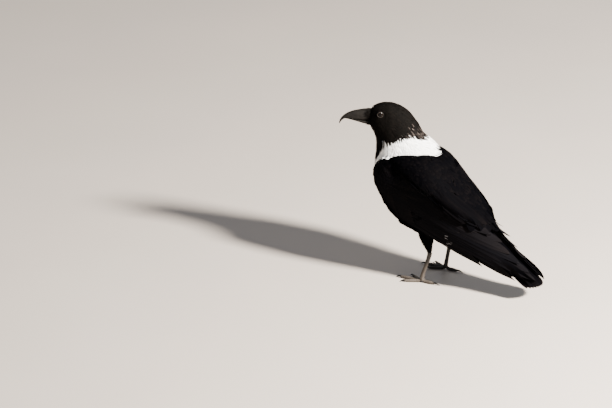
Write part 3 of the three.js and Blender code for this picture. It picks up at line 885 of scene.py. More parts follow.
def feather_tract(coat, name, rng):
    """Adds one tract's feathers to a coat."""
    tract = TRACTS[TRACT_OF[name]]
    place = feather_roots()[name]
    if name == "face":
        place = chosen(place, eye_room(place.row) > 0.0008)
    count = len(place.row)
    lie = lie_of_coat(place)
    stray = np.radians(rng.normal(0, tract.stray, count))[:, None]
    across = np.cross(place.facing, lie)
    lie = lie * np.cos(stray) + across * np.sin(stray)
    size = rng.normal(1, 0.1, count).clip(0.7, 1.3)
    if name == "face":
        size = size * (0.3 + 0.7 * smoothstep(eye_room(place.row), 0.0, LID_EDGE))
    lengths = tract.length * MM * size
    widths = tract.width * MM * size * rng.normal(1, 0.08, count).clip(0.8, 1.2)
    fractions = OUTLINES[tract.outline][0]
    loose, steady = LOOSE, None
    if name in WING_TRACTS:
        loose, steady = WING_LOOSE, WING_STEADY
        lengths = lengths * np.where(marking(place) == WHITE, 0.5, 1.0)
    points, normals = marched(place.row, lie, lengths, fractions, steady=steady)
    held = np.nonzero(form().gap(points[-1]) < loose)[0]
    place, widths, points, normals = chosen(place, held), widths[held], points[:, held], normals[:, held]
    count = len(held)
    beside = 1 - smoothstep(eye_room(place.row), 0.0, LID_EDGE)
    root_lift = (0.3 * beside - tract.sink) * MM
    tip_lift = (tract.lift * rng.normal(1, 0.3, count) - DEEP + 0.25 * beside) * MM
    shown = len(fractions) - 2
    marks = marking(placed(points[shown], normals[shown]))
    if name == "nape":
        faded = rng.random(count) < np.interp(place.plain[:, 2], [244, 256, 276], [0.6, 0.45, 0.05])
        marks = np.where(faded & (marks == HOOD), NAPE, marks)
    # The lesser coverts take the lighter copy of the black: painted light on the shaded side of the wing.
    if name == "lesser_coverts":
        marks = np.where(marks == BLACK, COVERT_PAINTED_LIGHT, marks)
    coat.add(points, normals, widths, tract.outline, SECTION_PLAIN, sizes().vane, (root_lift, tip_lift),
             marks, unwrapped(place), rng, bank=np.radians(rng.normal(0, 4, count)))


# ---- rows of wing and tail feathers ----------------------------------------------------------------
# Places on the folded left wing are given as how far down the back they are and how high off it.
Row = namedtuple("Row", "name count roots tips widths outline shaft lift bank")


def evenly(points, count):
    """Points spread evenly over a line of points."""
    points = np.array(points, dtype=float)
    at = np.linspace(0, len(points) - 1, count)
    return np.stack([np.interp(at, range(len(points)), points[:, k]) for k in range(2)], axis=1)


WING_ROWS = [
    # Outermost (lowest) feather first.
    Row("primaries", 10, [(38, 1), (14, 7), (0, 14), (-22, 20)],
        [(206, 50), (262, 77), (287, 94), (290.5, 99), (284, 100.5), (268, 100.5), (246, 100), (222, 99),
         (199, 98.5), (177, 98)],
        (18, 20), "quill", 0.32, (-0.6, -0.3), 3.5),
    Row("secondaries", 10, [(-20, 26), (44, 66)], [(134, 60), (150, 74), (160, 90)], (19, 22), "quill", 0.36,
        (-0.5, -0.2), 4),
    Row("alula", 6, [(-35, 23), (-24, 26)], [(63, -13), (22, 12)], (11, 12), "covert", 0.4, (-1.1, 0.0), 4),
    Row("primary_coverts", 12, [(24, 0), (-24, 24)], [(86, 5.5), (36, 40)], (13, 13), "covert", 0.4,
        (-1.1, -0.1), 4),
    Row("greater_coverts", 15, [(-26, 28), (36, 68)], [(26, 40), (90, 78)], (13, 15), "covert", 0.42,
        (-1.0, 0.0), 4),
    Row("median_coverts", 20, [(-32, 30), (30, 71)], [(-2, 37), (58, 77)], (9, 11), "covert", 0.45,
        (-1.0, 0.1), 4),
    Row("scapular_fold", 13, [(-6, 82), (30, 91), (96, 96)], [(26, 78), (66, 85), (132, 93)], (13, 13),
        "covert", 0.45, (-1.0, -0.1), 3),
    Row("scapular_edge", 19, [(-20, 69), (24, 78), (66, 83), (120, 97)],
        [(16, 64), (60, 73), (102, 77), (157, 96)], (12, 12), "covert", 0.45, (-1.0, 0.2), 3),
    Row("tertials", 8, [(52, 77), (56, 98)], [(128, 83), (144, 90), (158, 97.5)], (16, 18), "quill", 0.45,
        (-0.9, 0.0), 3.5),
]


# The rows on the side of the wing, which take the lighter copy of the black: painted light on the shaded
# side.
SIDE_ROWS = {"primaries", "secondaries", "alula", "primary_coverts", "greater_coverts", "median_coverts"}


ASIDE = 110.0  # a spine is laid on a wing from this far out to the side
WING_OUT = 0.045  # where a wing is looked for when nothing is met from the side
OUTWARDS = 0.05  # a place whose normal points less to the side than this isn't on a wing's side


def wing_spines(roots, tips, side, fractions):
    """Spines laid on the side of a wing between roots and tips."""
    surface = form()
    inward = Vector((0, -side, 0))
    points, normals = [], []
    before = before_facing = None
    for fraction in fractions:
        at = roots + (tips - roots) * fraction
        start = to_row(on_back(at[:, 0], side * ASIDE, at[:, 1]))
        laid, facing = np.empty_like(start), np.empty_like(start)
        for i, point in enumerate(start):
            place, _, index, _ = surface.tree.ray_cast(point, inward)
            if place is not None and surface.normal[index][1] * side > OUTWARDS:
                laid[i], facing[i] = place, surface.normal[index]
            elif before is None:
                guess = Vector(point)
                guess.y = side * WING_OUT
                place, _, index, _ = surface.tree.find_nearest(guess)
                laid[i], facing[i] = place, surface.normal[index]
            else:
                laid[i] = point
                laid[i][1] = before[i][1]
                facing[i] = before_facing[i]
        before, before_facing = laid, facing
        points.append(laid)
        normals.append(facing)
    points, normals = np.array(points), np.array(normals)
    for _ in range(3):
        points[1:-1] = (points[:-2] + 2 * points[1:-1] + points[2:]) / 4
        normals[1:-1] = unit(normals[:-2] + 2 * normals[1:-1] + normals[2:])
    return points, normals


ROOT_STRAY, TIP_STRAY = 0.5, 0.7  # of the feathers of a row
STACK = 0.3  # how much higher the last feather of a row lies than the first
COVERT_STRENGTH = 1.3  # a covert's thickness against a body feather's


def feather_row(coat, row, side, rng):
    """Adds one row of wing feathers."""
    roots, tips = evenly(row.roots, row.count), evenly(row.tips, row.count)
    roots = roots + rng.normal(0, ROOT_STRAY, roots.shape)
    tips = tips + rng.normal(0, TIP_STRAY, tips.shape)
    fractions = OUTLINES[row.outline][0]
    points, normals = wing_spines(roots, tips, side, fractions)
    held = np.nonzero(normals[0][:, 1] * side > OUTWARDS)[0]
    points, normals, count = points[:, held], normals[:, held], len(held)
    widths = np.linspace(*row.widths, row.count)[held] * MM
    section = SECTION_QUILL if row.outline == "quill" or row.name == "greater_coverts" else SECTION_PLAIN
    thickness = sizes().quill_vane if section is SECTION_QUILL else sizes().vane * COVERT_STRENGTH
    order = np.linspace(0, 1, row.count)[held]
    lifts = np.array(row.lift)[:, None] * MM + STACK * MM * order
    shaft = row.shaft if side < 0 else 1 - row.shaft
    # Side rows take the lighter copy of the black, painted light on the shaded side of the wing.
    marks = np.full(count, COVERT_PAINTED_LIGHT if row.name in SIDE_ROWS else BLACK)
    coat.add(points, normals, widths, row.outline, section, thickness, lifts, marks,
             unwrapped(placed(points[0], normals[0])), rng, camber=0.05,
             bank=-side * math.radians(row.bank), shaft_at=shaft)


# Feathers out of place: side, how far down the back and how high off it the root and the tip are, how
# wide it is and how far the tip stands off, all in millimetres.
Loose = namedtuple("Loose", "side root tip width rise mark")
LOOSE_FEATHERS = [
    Loose(-1, (78, 84), (103, 92), 5.0, 2.2, BLACK), Loose(-1, (70, 86), (98, 94), 7.0, 1.2, BLACK),
    Loose(1, (44, -4), (64, -11), 6.0, 0.6, BLACK), Loose(1, (40, -1), (60, -9), 8.0, 0.3, BLACK),
    Loose(-1, (44, -4), (64, -9), 8.0, 0.5, BLACK),
    # Five small flecks low on the left flank: ruffled feathers whose pale grey is painted highlight on their
    # sunlit tips.
    Loose(1, (124, 40), (130, 45), 1.2, 1.0, PAINTED_HIGHLIGHT_FLECK), Loose(1, (127, 37), (132, 41), 1.4, 1.2, PAINTED_HIGHLIGHT_FLECK),
    Loose(1, (137, 34), (143, 37), 1.5, 1.2, PAINTED_HIGHLIGHT_FLECK), Loose(1, (135, 31), (140, 33), 1.1, 1.0, PAINTED_HIGHLIGHT_FLECK),
    Loose(1, (139, 38), (143, 41), 1.0, 1.0, PAINTED_HIGHLIGHT_FLECK),
]


def loose_feathers(coat, rng):
    """Adds the few feathers that are out of place, and a few pale flecks low on the left flank: ruffled
    feathers whose pale grey is painted highlight on their sunlit tips.
    """
    fractions = OUTLINES["lance"][0]
    for loose in LOOSE_FEATHERS:
        ends = (np.array([end], float) for end in (loose.root, loose.tip))
        points, normals = wing_spines(*ends, loose.side, fractions)
        coat.add(points, normals, np.array([loose.width]) * MM, "lance", SECTION_PLAIN, sizes().vane,
                 (-0.4 * MM, loose.rise * MM), np.array([loose.mark]),
                 unwrapped(placed(points[0], normals[0])), rng)


# Feathers round the root of the bill: how many, how low and high, how far back and ahead they start, how
# long they are, how far they droop and how far their tips stand off. Lengths are in millimetres.
Ring = namedtuple("Ring", "count low high back fore spans drop rise")
BILL_RINGS = [
    Ring(460, 270.0, 291.5, 112.0, 122.5, (5, 16), -0.1, (0.3, 1.0)),
    Ring(200, 260.0, 270.0, 112.0, 122.0, (5, 13), -0.12, (0.6, 1.6)),
]


def bristles(coat, rng):
    """Adds the stiff bristles that lie forward over the root of the bill, and the small chin feathers."""
    surface = bill_surface()
    ahead = turned(np.array([[TURN_X + 1, 0, 290.0], [TURN_X, 0, 290.0]]))
    ahead = ahead[0] - ahead[1]
    side = np.array([-ahead[1], ahead[0], 0.0])
    fractions = OUTLINES["bristle"][0]
    for ring in BILL_RINGS:
        count = ring.count
        height = rng.uniform(ring.low, ring.high, count)
        out = rng.choice([-1.0, 1.0], count) * rng.uniform(2, 12, count)
        guess = np.stack([rng.uniform(ring.back, ring.fore, count), out, height], axis=1)
        roots, normals, _ = surface.nearest(to_row(turned(guess)))
        outward = (normals @ side)[:, None] * side
        ways = ahead + np.array([0, 0, ring.drop]) + 0.12 * outward + rng.normal(0, 0.1, (count, 3))
        lengths = rng.uniform(*ring.spans, count) * MM
        points, facing = marched(roots, flat_to(ways, normals), lengths, fractions, surface=surface)
        widths = rng.uniform(0.6, 1.0, count) * MM
        uv = np.stack([guess[:, 0] / 300, height / 300], axis=1)
        coat.add(points, facing, widths, "bristle", SECTION_PLAIN, sizes().vane,
                 (0.15 * MM, rng.uniform(*ring.rise, count) * MM), np.full(count, HOOD), uv, rng)


TAIL_FEATHERS = 12
TAIL_ROOT, TAIL_TIP = 108.0, 297.0
TAIL_ROUNDING = 11.0  # the outer feathers end this much sooner
TAIL_WIDTH = 21.0
# The tail from root to tip: half its width, how high it is in the middle, and how far it drops outwards.
TAIL_HALF = [11, 15, 19, 25, 30]
TAIL_HIGH = [82, 83, 86, 90, 94]
TAIL_ARCH = [2, 3, 4.5, 5.5, 6]


def tail_feathers(coat, rng):
    """Adds the twelve tail feathers, the middle pair on top."""
    fractions = np.array(OUTLINES["quill"][0])
    outermost = (TAIL_FEATHERS - 1) / 2
    sides = (np.arange(TAIL_FEATHERS) - outermost) / outermost
    points = np.empty((len(fractions), TAIL_FEATHERS, 3))
    normals = np.empty_like(points)
    at = np.linspace(0, 1, len(TAIL_HALF))
    for k, fraction in enumerate(fractions):
        end = TAIL_TIP - TAIL_ROUNDING * sides ** 2
        down = TAIL_ROOT + (end - TAIL_ROOT) * fraction
        t = (down - TAIL_ROOT) / (TAIL_TIP - TAIL_ROOT)
        half = np.interp(t, at, TAIL_HALF) - np.interp(t, [0, 1], [8, 3.5])
        arch = np.interp(t, at, TAIL_ARCH)
        high = np.interp(t, at, TAIL_HIGH) - arch * sides ** 2 - 0.8 - 1.2 * np.abs(sides)
        points[k] = to_row(on_back(down, half * sides, high))
        slope = 2 * arch * sides / np.maximum(half + 8, 1)
        normals[k] = unit(OFF_BACK[None] + np.array([0, 1, 0]) * slope[:, None])
    widths = np.full(TAIL_FEATHERS, TAIL_WIDTH) * MM
    uv = np.stack([(np.arange(TAIL_FEATHERS) + 0.5) / TAIL_FEATHERS, np.full(TAIL_FEATHERS, 0.5)], axis=1)
    coat.add(points, normals, widths, "quill", SECTION_QUILL, sizes().quill_vane, (0.0, 0.0),
             np.full(TAIL_FEATHERS, BLACK), uv, rng, camber=0.03,
             bank=np.radians(-2.0) * np.sign(sides), shaft_at=0.5 + 0.16 * sides)


# ---- materials -------------------------------------------------------------------------------------
def node_group(name, inputs, outputs):
    """A new shader node group with its inputs and outputs; each is (name, socket type[, default])."""
    group = bpy.data.node_groups.new(name, "ShaderNodeTree")
    for socket_name, kind, *default in inputs:
        socket = group.interface.new_socket(socket_name, in_out="INPUT", socket_type=kind)
        if default:
            socket.default_value = default[0]
    for socket_name, kind in outputs:
        group.interface.new_socket(socket_name, in_out="OUTPUT", socket_type=kind)
    return group, group.nodes.new("NodeGroupInput").outputs, group.nodes.new("NodeGroupOutput").inputs


class Net:
    """Short ways to add nodes to a material or a group."""

    def __init__(self, tree):
        self.nodes = tree.nodes
        self.links = tree.links

    def put(self, value, socket):
        """Links a socket to an input, or sets the input to a number or a colour."""
        if isinstance(value, bpy.types.NodeSocket):
            self.links.new(value, socket)
        elif isinstance(value, (int, float)):
            socket.default_value = value
        else:
            socket.default_value = (*value, 1)

    def add(self, kind, inputs=(), **settings):
        """Adds a node; inputs are pairs of a name and what is put there."""
        node = self.nodes.new("ShaderNode" + kind)
        for name, value in settings.items():
            setattr(node, name, value)
        for name, value in inputs:
            self.put(value, node.inputs[name])
        return node

    def math(self, operation, *values):
        node = self.add("Math", operation=operation)
        for socket, value in zip(node.inputs, values):
            self.put(value, socket)
        return node.outputs[0]

    def ranged(self, value, low, high):
        """A smooth step from 0 at low to 1 at high."""
        inputs = [("From Min", low), ("From Max", high), ("Value", value)]
        return self.add("MapRange", inputs, interpolation_type="SMOOTHSTEP").outputs["Result"]

    def mix(self, factor, first, second):
        inputs = [("Factor", factor), ("A", first), ("B", second)]
        return self.add("Mix", inputs, data_type="RGBA").outputs["Result"]

    def attribute(self, name):
        return self.add("Attribute", attribute_name=name).outputs["Fac"]

    def noise(self, *inputs):
        """Clouds on the piece's own coordinates."""
        place = self.add("TexCoord").outputs["Object"]
        return self.add("TexNoise", [("Vector", place), *inputs]).outputs["Fac"]


LOOKS = [("Color", "NodeSocketColor"), ("Height", "NodeSocketFloat"), ("Roughness", "NodeSocketFloat")]
BARBS = 1300.0  # to a metre of a feather


@functools.cache
def barb_group():
    """The relief and the tones of a feather: fine barbs off the shaft, worn edges, uneven colour."""
    group, given, made = node_group(
        "feather_barbs",
        [("Base", "NodeSocketColor"), ("Edge", "NodeSocketColor"), ("Wear", "NodeSocketFloat", 0.3)],
        LOOKS,
    )
    net = Net(group)
    vane = net.add("UVMap", uv_map="Vane")
    split = net.add("SeparateXYZ", [("Vector", vane.outputs["UV"])])
    across = net.math("ABSOLUTE", split.outputs[0])
    run = net.math("ADD", split.outputs[1], net.math("MULTIPLY", across, -0.22))
    barbs = net.math("MULTIPLY", net.attribute("span"), BARBS)
    turns = net.math("MULTIPLY", run, barbs)
    net.put(net.math("SINE", net.math("MULTIPLY", turns, math.tau)), made["Height"])
    tip = net.math("POWER", split.outputs[1], 5.0)
    rim = net.math("POWER", across, 6.0)
    uneven = net.math("MULTIPLY", net.attribute("tone"), net.noise(("Scale", 38.0), ("Detail", 3.0)))
    worn = net.math("MULTIPLY", net.math("MULTIPLY", net.math("MAXIMUM", tip, rim), uneven), 2.4)
    factor = net.math("ADD", worn, net.math("MULTIPLY", uneven, 0.5))
    factor = net.math("MULTIPLY", factor, given["Wear"])
    net.put(net.mix(factor, given["Base"], given["Edge"]), made["Color"])
    net.put(net.math("ADD", net.math("MULTIPLY", uneven, 0.25), 0.64), made["Roughness"])
    return group


@functools.cache
def mottle_group():
    """Uneven tones, patches of dust, and fine grain."""
    group, given, made = node_group(
        "mottle",
        [("Base", "NodeSocketColor"), ("Dust", "NodeSocketColor"), ("Amount", "NodeSocketFloat", 0.3),
         ("Scale", "NodeSocketFloat", 120.0), ("Dull", "NodeSocketFloat", 0.2)],
        LOOKS,
    )
    net = Net(group)
    broad = net.noise(("Scale", given["Scale"]), ("Detail", 5.0))
    grain = net.noise(("Scale", 1400.0))
    mask = net.math("MULTIPLY", broad, given["Amount"])
    net.put(net.mix(mask, given["Base"], given["Dust"]), made["Color"])
    net.put(net.math("ADD", broad, grain), made["Height"])
    net.put(net.math("ADD", net.math("MULTIPLY", broad, 0.35), given["Dull"]), made["Roughness"])
    return group


def patterned(name, group, inputs, relief, depth, finish):
    """A material whose colour, roughness and relief come from a group.

    finish is what is the same all over, set on the shader's own sockets."""
    material = bpy.data.materials.new(name)
    material.use_nodes = True
    net = Net(material.node_tree)
    pattern = net.add("Group", inputs, node_tree=group).outputs
    bump = net.add("Bump", [("Strength", relief), ("Distance", depth), ("Height", pattern["Height"])])
    shader = net.nodes["Principled BSDF"]
    net.put(pattern["Color"], shader.inputs["Base Color"])
    net.put(pattern["Roughness"], shader.inputs["Roughness"])
    net.put(bump.outputs["Normal"], shader.inputs["Normal"])
    for socket_name, value in finish:
        net.put(value, shader.inputs[socket_name])
    return material


BLUE, BROWN, CLEAR = (0.35, 0.42, 0.9), (0.8, 0.65, 0.55), (1.0, 1.0, 1.0)  # tints of the sheen
# Plumage in the order of the marks: its colour, its worn edges' colour, how worn it is, the weight and
# tint of its sheen, and its gloss.
PLUMAGE = {
    "black_plumage": ("black", "worn", 0.04, 0.0005, BLUE, 0.006),
    "hood_plumage": ("hood", "worn", 0.12, 0.002, BROWN, 0.02),
    "white_plumage": ("white", "cream", 0.25, 0.1, CLEAR, 0.3),
    "nape_plumage": ("hood", "faded", 0.8, 0.004, BROWN, 0.02),
    # Pale grey flecks: painted highlight on sunlit, ruffled flank feathers.
    "painted_highlight_plumage": ("down", "faded", 0.4, 0.1, CLEAR, 0.1),
    # A lighter copy of the black: painted light on the shaded side of the wings.
    "covert_painted_light_plumage": ("covert", "worn", 0.06, 0.001, BLUE, 0.014),
}


@functools.cache
def coat_materials():
    made = []
    for name, (base, edge, wear, sheen, tint, gloss) in PLUMAGE.items():
        inputs = [("Base", getattr(colours(), base)), ("Edge", getattr(colours(), edge)), ("Wear", wear)]
        finish = [("Specular IOR Level", gloss), ("Sheen Weight", sheen), ("Sheen Roughness", 0.45),
                  ("Sheen Tint", tint)]
        made.append(patterned(name, barb_group(), inputs, 0.12, 0.0001, finish))
    return made


# Horn, scales, bare skin and the floor: the colour and the dust's colour, how much dust there is and
# the grain of its patches, the relief, the weight of a clear coat, the gloss and the dullness.
BARE = {
    "black_skin": ("black", "worn", 0.05, 300.0, 0.1, 0.0, 0.02, 0.7),
    "hood_skin": ("hood", "worn", 0.05, 300.0, 0.1, 0.0, 0.02, 0.7),
    "white_skin": ("white", "down", 0.2, 300.0, 0.2, 0.0, 0.1, 0.6),
    "leg_scales": ("scale", "dust_and_sunlight", 0.16, 150.0, 0.3, 0.0, 0.2, 0.4),
    "eyelid": ("lid", "dust_and_sunlight", 0.01, 600.0, 0.4, 0.0, 0.08, 0.5),
    "eye_rim": ("lid", "dust_and_sunlight", 0.3, 500.0, 0.3, 0.0, 0.2, 0.4),
    "horn": ("horn", "dust_and_sunlight", 0.06, 140.0, 0.16, 0.02, 0.1, 0.42),
    "floor_paint": ("floor", "floor", 0.0, 4.0, 0.0, 0.0, 0.5, 0.2),
}


@functools.cache
def bare_material(name):
    base, dust_and_sunlight, amount, scale, relief, coat, gloss, dull = BARE[name]
    inputs = [("Base", getattr(colours(), base)), ("Dust", getattr(colours(), dust_and_sunlight)),
              ("Amount", amount), ("Scale", scale), ("Dull", dull)]
    finish = [("Specular IOR Level", gloss), ("Coat Weight", coat), ("Coat Roughness", 0.25)]
    return patterned(name, mottle_group(), inputs, relief, 0.0003, finish)


@functools.cache
def scale_material():
    """Scales with dust in the joints between them, and pale low on the left leg: partly dust, partly painted
    sunlight, which the right leg, as if in shade, does not get.
    """
    material = bare_material("leg_scales")
    net = Net(material.node_tree)
    base = net.nodes["Principled BSDF"].inputs["Base Color"]
    saw = net.math("FRACT", net.attribute("scute"))
    joint = net.math("POWER", net.math("SUBTRACT", 1.0, saw), 7.0)
    joint = net.math("MULTIPLY", net.math("MULTIPLY", joint, net.attribute("scute_front")), 0.5)
    place = net.add("SeparateXYZ", [("Vector", net.add("TexCoord").outputs["Object"])]).outputs
    # The lower shank of the left leg alone is paled: partly dust and partly painted sunlight; the right leg,
    # as if in shade, stays dark.
    lower = net.math("SUBTRACT", 1.0, net.ranged(place[2], 0.026, 0.042))
    left = net.ranged(place[1], -0.002, 0.002)
    dust_and_painted_sun = net.math("MULTIPLY", net.math("MULTIPLY", lower, left), 0.25)
    shank_with_painted_sun = net.mix(dust_and_painted_sun, base.links[0].from_socket, colours().dust_and_sunlight)
    net.put(net.mix(joint, shank_with_painted_sun, colours().dust_and_sunlight), base)
    return material


@functools.cache
def eye_material():
    """Glassy, with a pupil, an iris and a darker rim."""
    material = bpy.data.materials.new("eye_glass")
    material.use_nodes = True
    net = Net(material.node_tree)
    ramp = net.add("ValToRGB", [("Fac", net.attribute("from_pupil"))])
    pupil, iris = ramp.color_ramp.elements
    pupil.position = 0.46
    pupil.color = (0.001, 0.001, 0.001, 1)
    iris.position = 0.5
    iris.color = (*colours().iris, 1)
    ramp.color_ramp.elements.new(0.92).color = (0.002, 0.001, 0.0007, 1)
    shader = net.nodes["Principled BSDF"]
    for socket_name, value in (
        ("Base Color", ramp.outputs["Color"]), ("Roughness", 0.12), ("Specular IOR Level", 0.07),
        ("Coat Weight", 0.02), ("Coat Roughness", 0.02),
    ):
        net.put(value, shader.inputs[socket_name])
    return material


# ---- pieces ----------------------------------------------------------------------------------------
LID_RING = 0.0058  # how far from the middle of the eye the plumage meets the lids
LID_PROBES = 16  # places round an eye where the plumage's height is taken
DEEPEST_EYE = 0.003
EYE_FIT = 0.93  # the eyeball's size against the whole eye with its lids
PUPIL_SWELL = 0.03  # how far the middle of the eye bulges, as a part of its radius
PUPIL_REACH = 0.68  # the angle that from_pupil counts as 1


@functools.cache
def eye_frame(side):
    """The middle of an eye, the way that it looks, and its radius. It is sunk until the lids are flush."""
    low, high = (np.array(corner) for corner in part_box(f"eye_{side}"))
    centre = (low + high) / 2
    outward = turned(np.array([[TURN_X, SIDES[side], 290.0], [TURN_X, 0, 290.0]]))
    way = unit(outward[0] - outward[1] + np.array([0.0, 0.0, 0.08]))
    radius = (high - low)[2] / 2 * EYE_FIT
    turn = np.array(basis(way))
    heights = []
    for angle in np.arange(LID_PROBES) * math.tau / LID_PROBES:
        ring = turn @ np.array([math.cos(angle), math.sin(angle), 0]) * LID_RING
        place, _, _, _ = form().tree.ray_cast(Vector(centre + ring + way * 0.02), Vector(-way))
        heights.append((np.array(place) - centre) @ way)
    sink = math.sqrt(radius ** 2 - LID_RING ** 2) - float(np.mean(heights)) - 0.0001
    return centre - way * min(max(sink, 0.0), DEEPEST_EYE), way, radius


def build_eyes():
    for side in SIDES:
        centre, way, radius = eye_frame(side)
        select_none()
        bpy.ops.mesh.primitive_uv_sphere_add(segments=64, ring_count=40, radius=radius)
        eye = bpy.context.object
        eye.name = f"eyeball_{side}"
        places, _ = vertex_arrays(eye.data)
        polar = np.arccos(np.clip(places[:, 2] / radius, -1, 1))
        swell = 1 + PUPIL_SWELL * np.exp(-((polar / 0.5) ** 2))
        moved = places * swell[:, None]
        turn = np.array(basis(way))
        eye.data.vertices.foreach_set("co", (moved @ turn.T + centre).ravel())
        add_attribute(eye.data, "from_pupil", np.clip(polar / PUPIL_REACH, 0, 1))
        shade_smooth(eye)
        finish_piece(eye, "eye", [eye_material()], f"eye_{side}")


# Along a lid: how far from the opening as a part of the way to the skirt, and how far off the eyeball.
LID_ROLLS = [
    (0.0, -0.0001), (0.0, 0.0002), (0.03, 0.0004), (0.07, 0.00045), (0.12, 0.0003), (0.17, 0.00015),
    (0.3, 0.0001), (0.6, 0.0), (1.0, -0.0002), (1.0, -0.0008), (0.5, -0.0006), (0.1, -0.0004),
]
LID_RIM = (1, 3)  # the rolls that are the rim, which is paler
LID_AROUND = 72
LID_BEADS = 24  # round the rim
LID_SKIRT = math.radians(82)


def lid_shell(side):
    """The bare lids of one eye: a shell over the eyeball with a rolled rim round the opening."""
    centre, way, radius = eye_frame(side)
    opening = math.asin(sizes().eye_opening / radius)
    turn = np.array(basis(way))
    count = len(LID_ROLLS)
    places, faces = [], []
    for j in range(LID_AROUND):
        angle = math.tau * j / LID_AROUND
        squeeze = 1 - 0.13 * abs(math.sin(angle)) ** 1.5 + 0.16 * max(0.0, math.cos(angle)) ** 8
        beads = 0.00006 * math.cos(angle * LID_BEADS)
        for part, off in LID_ROLLS:
            polar = opening * squeeze + (LID_SKIRT - opening) * part
            reach = radius + off + beads * (0.01 < part < 0.1)
            local = np.array([math.cos(angle) * math.sin(polar), math.sin(angle) * math.sin(polar),
                              math.cos(polar)]) * reach
            places.append(turn @ local + centre)
        a, b = j * count, (j + 1) % LID_AROUND * count
        faces.extend((a + k, b + k, b + (k + 1) % count, a + (k + 1) % count) for k in range(count))
    return shell(f"lid_{side}", places, faces)


def coat_depth(place):
    """How deep the skin lies under the plumage's surface."""
    s = sizes()
    head = smoothstep(place.plain[:, 2], *HEAD_COAT)
    depth = s.body_coat + (s.head_coat - s.body_coat) * head
    depth = np.where(place.wing, s.wing_coat, depth)
    return np.where(place.thigh, s.head_coat, depth)


ANKLE = ((-11.0, 36.0, 52.0), (-7.5, 35.5, 72.0))  # the leg's bone from the ankle up into the plumage
ANKLE_RADIUS = 3.5
CUFF_RADIUS = 2.05  # of the skin round the root of a claw


def rod(start, end, radius):
    """A short round bar between two points of the row's frame."""
    start, end = Vector(start), Vector(end)
    way = end - start
    select_none()
    bpy.ops.mesh.primitive_cylinder_add(
        vertices=20, radius=radius, depth=way.length, location=(start + end) / 2,
        rotation=way.to_track_quat("Z", "Y").to_euler(),
    )
    return settled()


def cuff(side, toe):
    """The end of a toe, drawn over the root of its claw."""
    claw = vertex_arrays(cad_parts[f"claw_{side}_{toe}"].data)[0]
    end = vertex_arrays(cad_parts[f"toe_{side}_{toe}"].data)[0].mean(axis=0)
    off = np.linalg.norm(claw - end, axis=1)
    root = claw[off < off.min() + 0.0012].mean(axis=0)
    way = unit(claw.mean(axis=0) - root)
    return rod(root - way * 0.003, root + way * 0.0012, CUFF_RADIUS * MM)


def leg_fillings():
    """What joins the bare leg to the thigh, and each toe to its claw."""
    made = []
    for side, sign in SIDES.items():
        low, high = (to_row(np.array(end) * np.array([1, sign, 1])) for end in ANKLE)
        made.append(rod(low, high, ANKLE_RADIUS * MM))
        made.extend(cuff(side, toe) for toe in TOES)
    return made


SCUTE = 3.6  # length of a scute on the front of the leg, in millimetres
SCUTE_STEP = 0.22  # how far a scute stands over the next one
TOE_TOP = 8.5  # below this a leg's skin is that of the toes
HEEL = 0.82  # where the foot's middle is, from the back of the tarsus's box to its front


def scuted(leg):
    """Gives the bare legs their scutes: across the front of the tarsus and over the tops of the toes."""
    places, facing = vertex_arrays(leg.data)
    bird = to_bird(places)
    along = np.empty(len(bird))
    front = np.empty(len(bird))
    for side, sign in SIDES.items():
        mine = bird[:, 1] * sign > 0
        low, high = (to_bird(np.array(corner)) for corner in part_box(f"tarsus_{side}"))
        foot = np.array([low[0] + HEEL * (high[0] - low[0]), (low[1] + high[1]) / 2])
        out = np.linalg.norm(bird[:, :2] - foot, axis=1)
        toes = mine & (bird[:, 2] < TOE_TOP)
        along[mine] = 60 - bird[mine, 2]
        front[mine] = facing[mine, 0]
        along[toes] = 53 + out[toes]
        front[toes] = facing[toes, 2]
    turns = along / SCUTE
    saw = turns - np.floor(turns)
    step = smoothstep(saw, 0.0, 0.12) * (1 - 0.75 * saw)
    height = SCUTE_STEP * MM * step * smoothstep(front, 0.05, 0.55)
    leg.data.vertices.foreach_set("co", (places + facing * height[:, None]).ravel())
    add_attribute(leg.data, "scute", turns)
    add_attribute(leg.data, "scute_front", front)


SCALES, LID, RIM = 3, 4, 5  # the skin's materials past those of the three markings
SKIN_SHARE = 0.44  # where the form is thin, the skin lies this part of its thickness in


def build_skin():
    """One skin: the body, head, wings and thighs inside the plumage, the bare legs and the lids."""
    body = new_object("skin", body_form().data.copy())
    apply(body, "REMESH", mode="VOXEL", voxel_size=sizes().skin_voxel)
    places, facing = vertex_arrays(body.data)
    place = placed(places, facing)
    depth = np.minimum(coat_depth(place), SKIN_SHARE * form().clearance(places, -facing, 0.0004))
    body.data.vertices.foreach_set("co", (places - facing * depth[:, None]).ravel())
    leg = joined("leg_skin", [copied("leg_skin", LEGS), *leg_fillings()])
    remeshed(leg, sizes().leg_voxel, 6, SWELL * 0.6)
    lids = [lid_shell(side) for side in SIDES]
    materials = [bare_material(f"{name}_skin") for name in ("black", "hood", "white")]
    materials += [scale_material(), bare_material("eyelid"), bare_material("eye_rim")]
    for obj in [body, leg, *lids]:
        for material in materials:
            obj.data.materials.append(material)
    first = numbers(body.data.polygons, "loop_start")
    paint_faces(body.data, marking(place)[numbers(body.data.loops, "vertex_index")[first]])
    paint_faces(leg.data, np.full(len(leg.data.polygons), SCALES))
    scuted(leg)
    for lid in lids:
        roll = np.arange(len(lid.data.polygons)) % len(LID_ROLLS)
        paint_faces(lid.data, np.where((roll >= LID_RIM[0]) & (roll <= LID_RIM[1]), RIM, LID))
    skin = joined("skin", [body, leg, *lids])
    shade_smooth(skin)
    finish_piece(skin, "black", [], *FLESH, *WINGS, *THIGHS, *LEGS)


def coat_piece(name, fill, *nodes):
    """Makes one piece of the coat: fill(coat, rng) adds its feathers."""
    coat = Coat()
    fill(coat, np.random.default_rng(sum(map(ord, name))))
    finish_piece(new_object(name, coat.mesh(name)), "black", coat_materials(), *nodes)


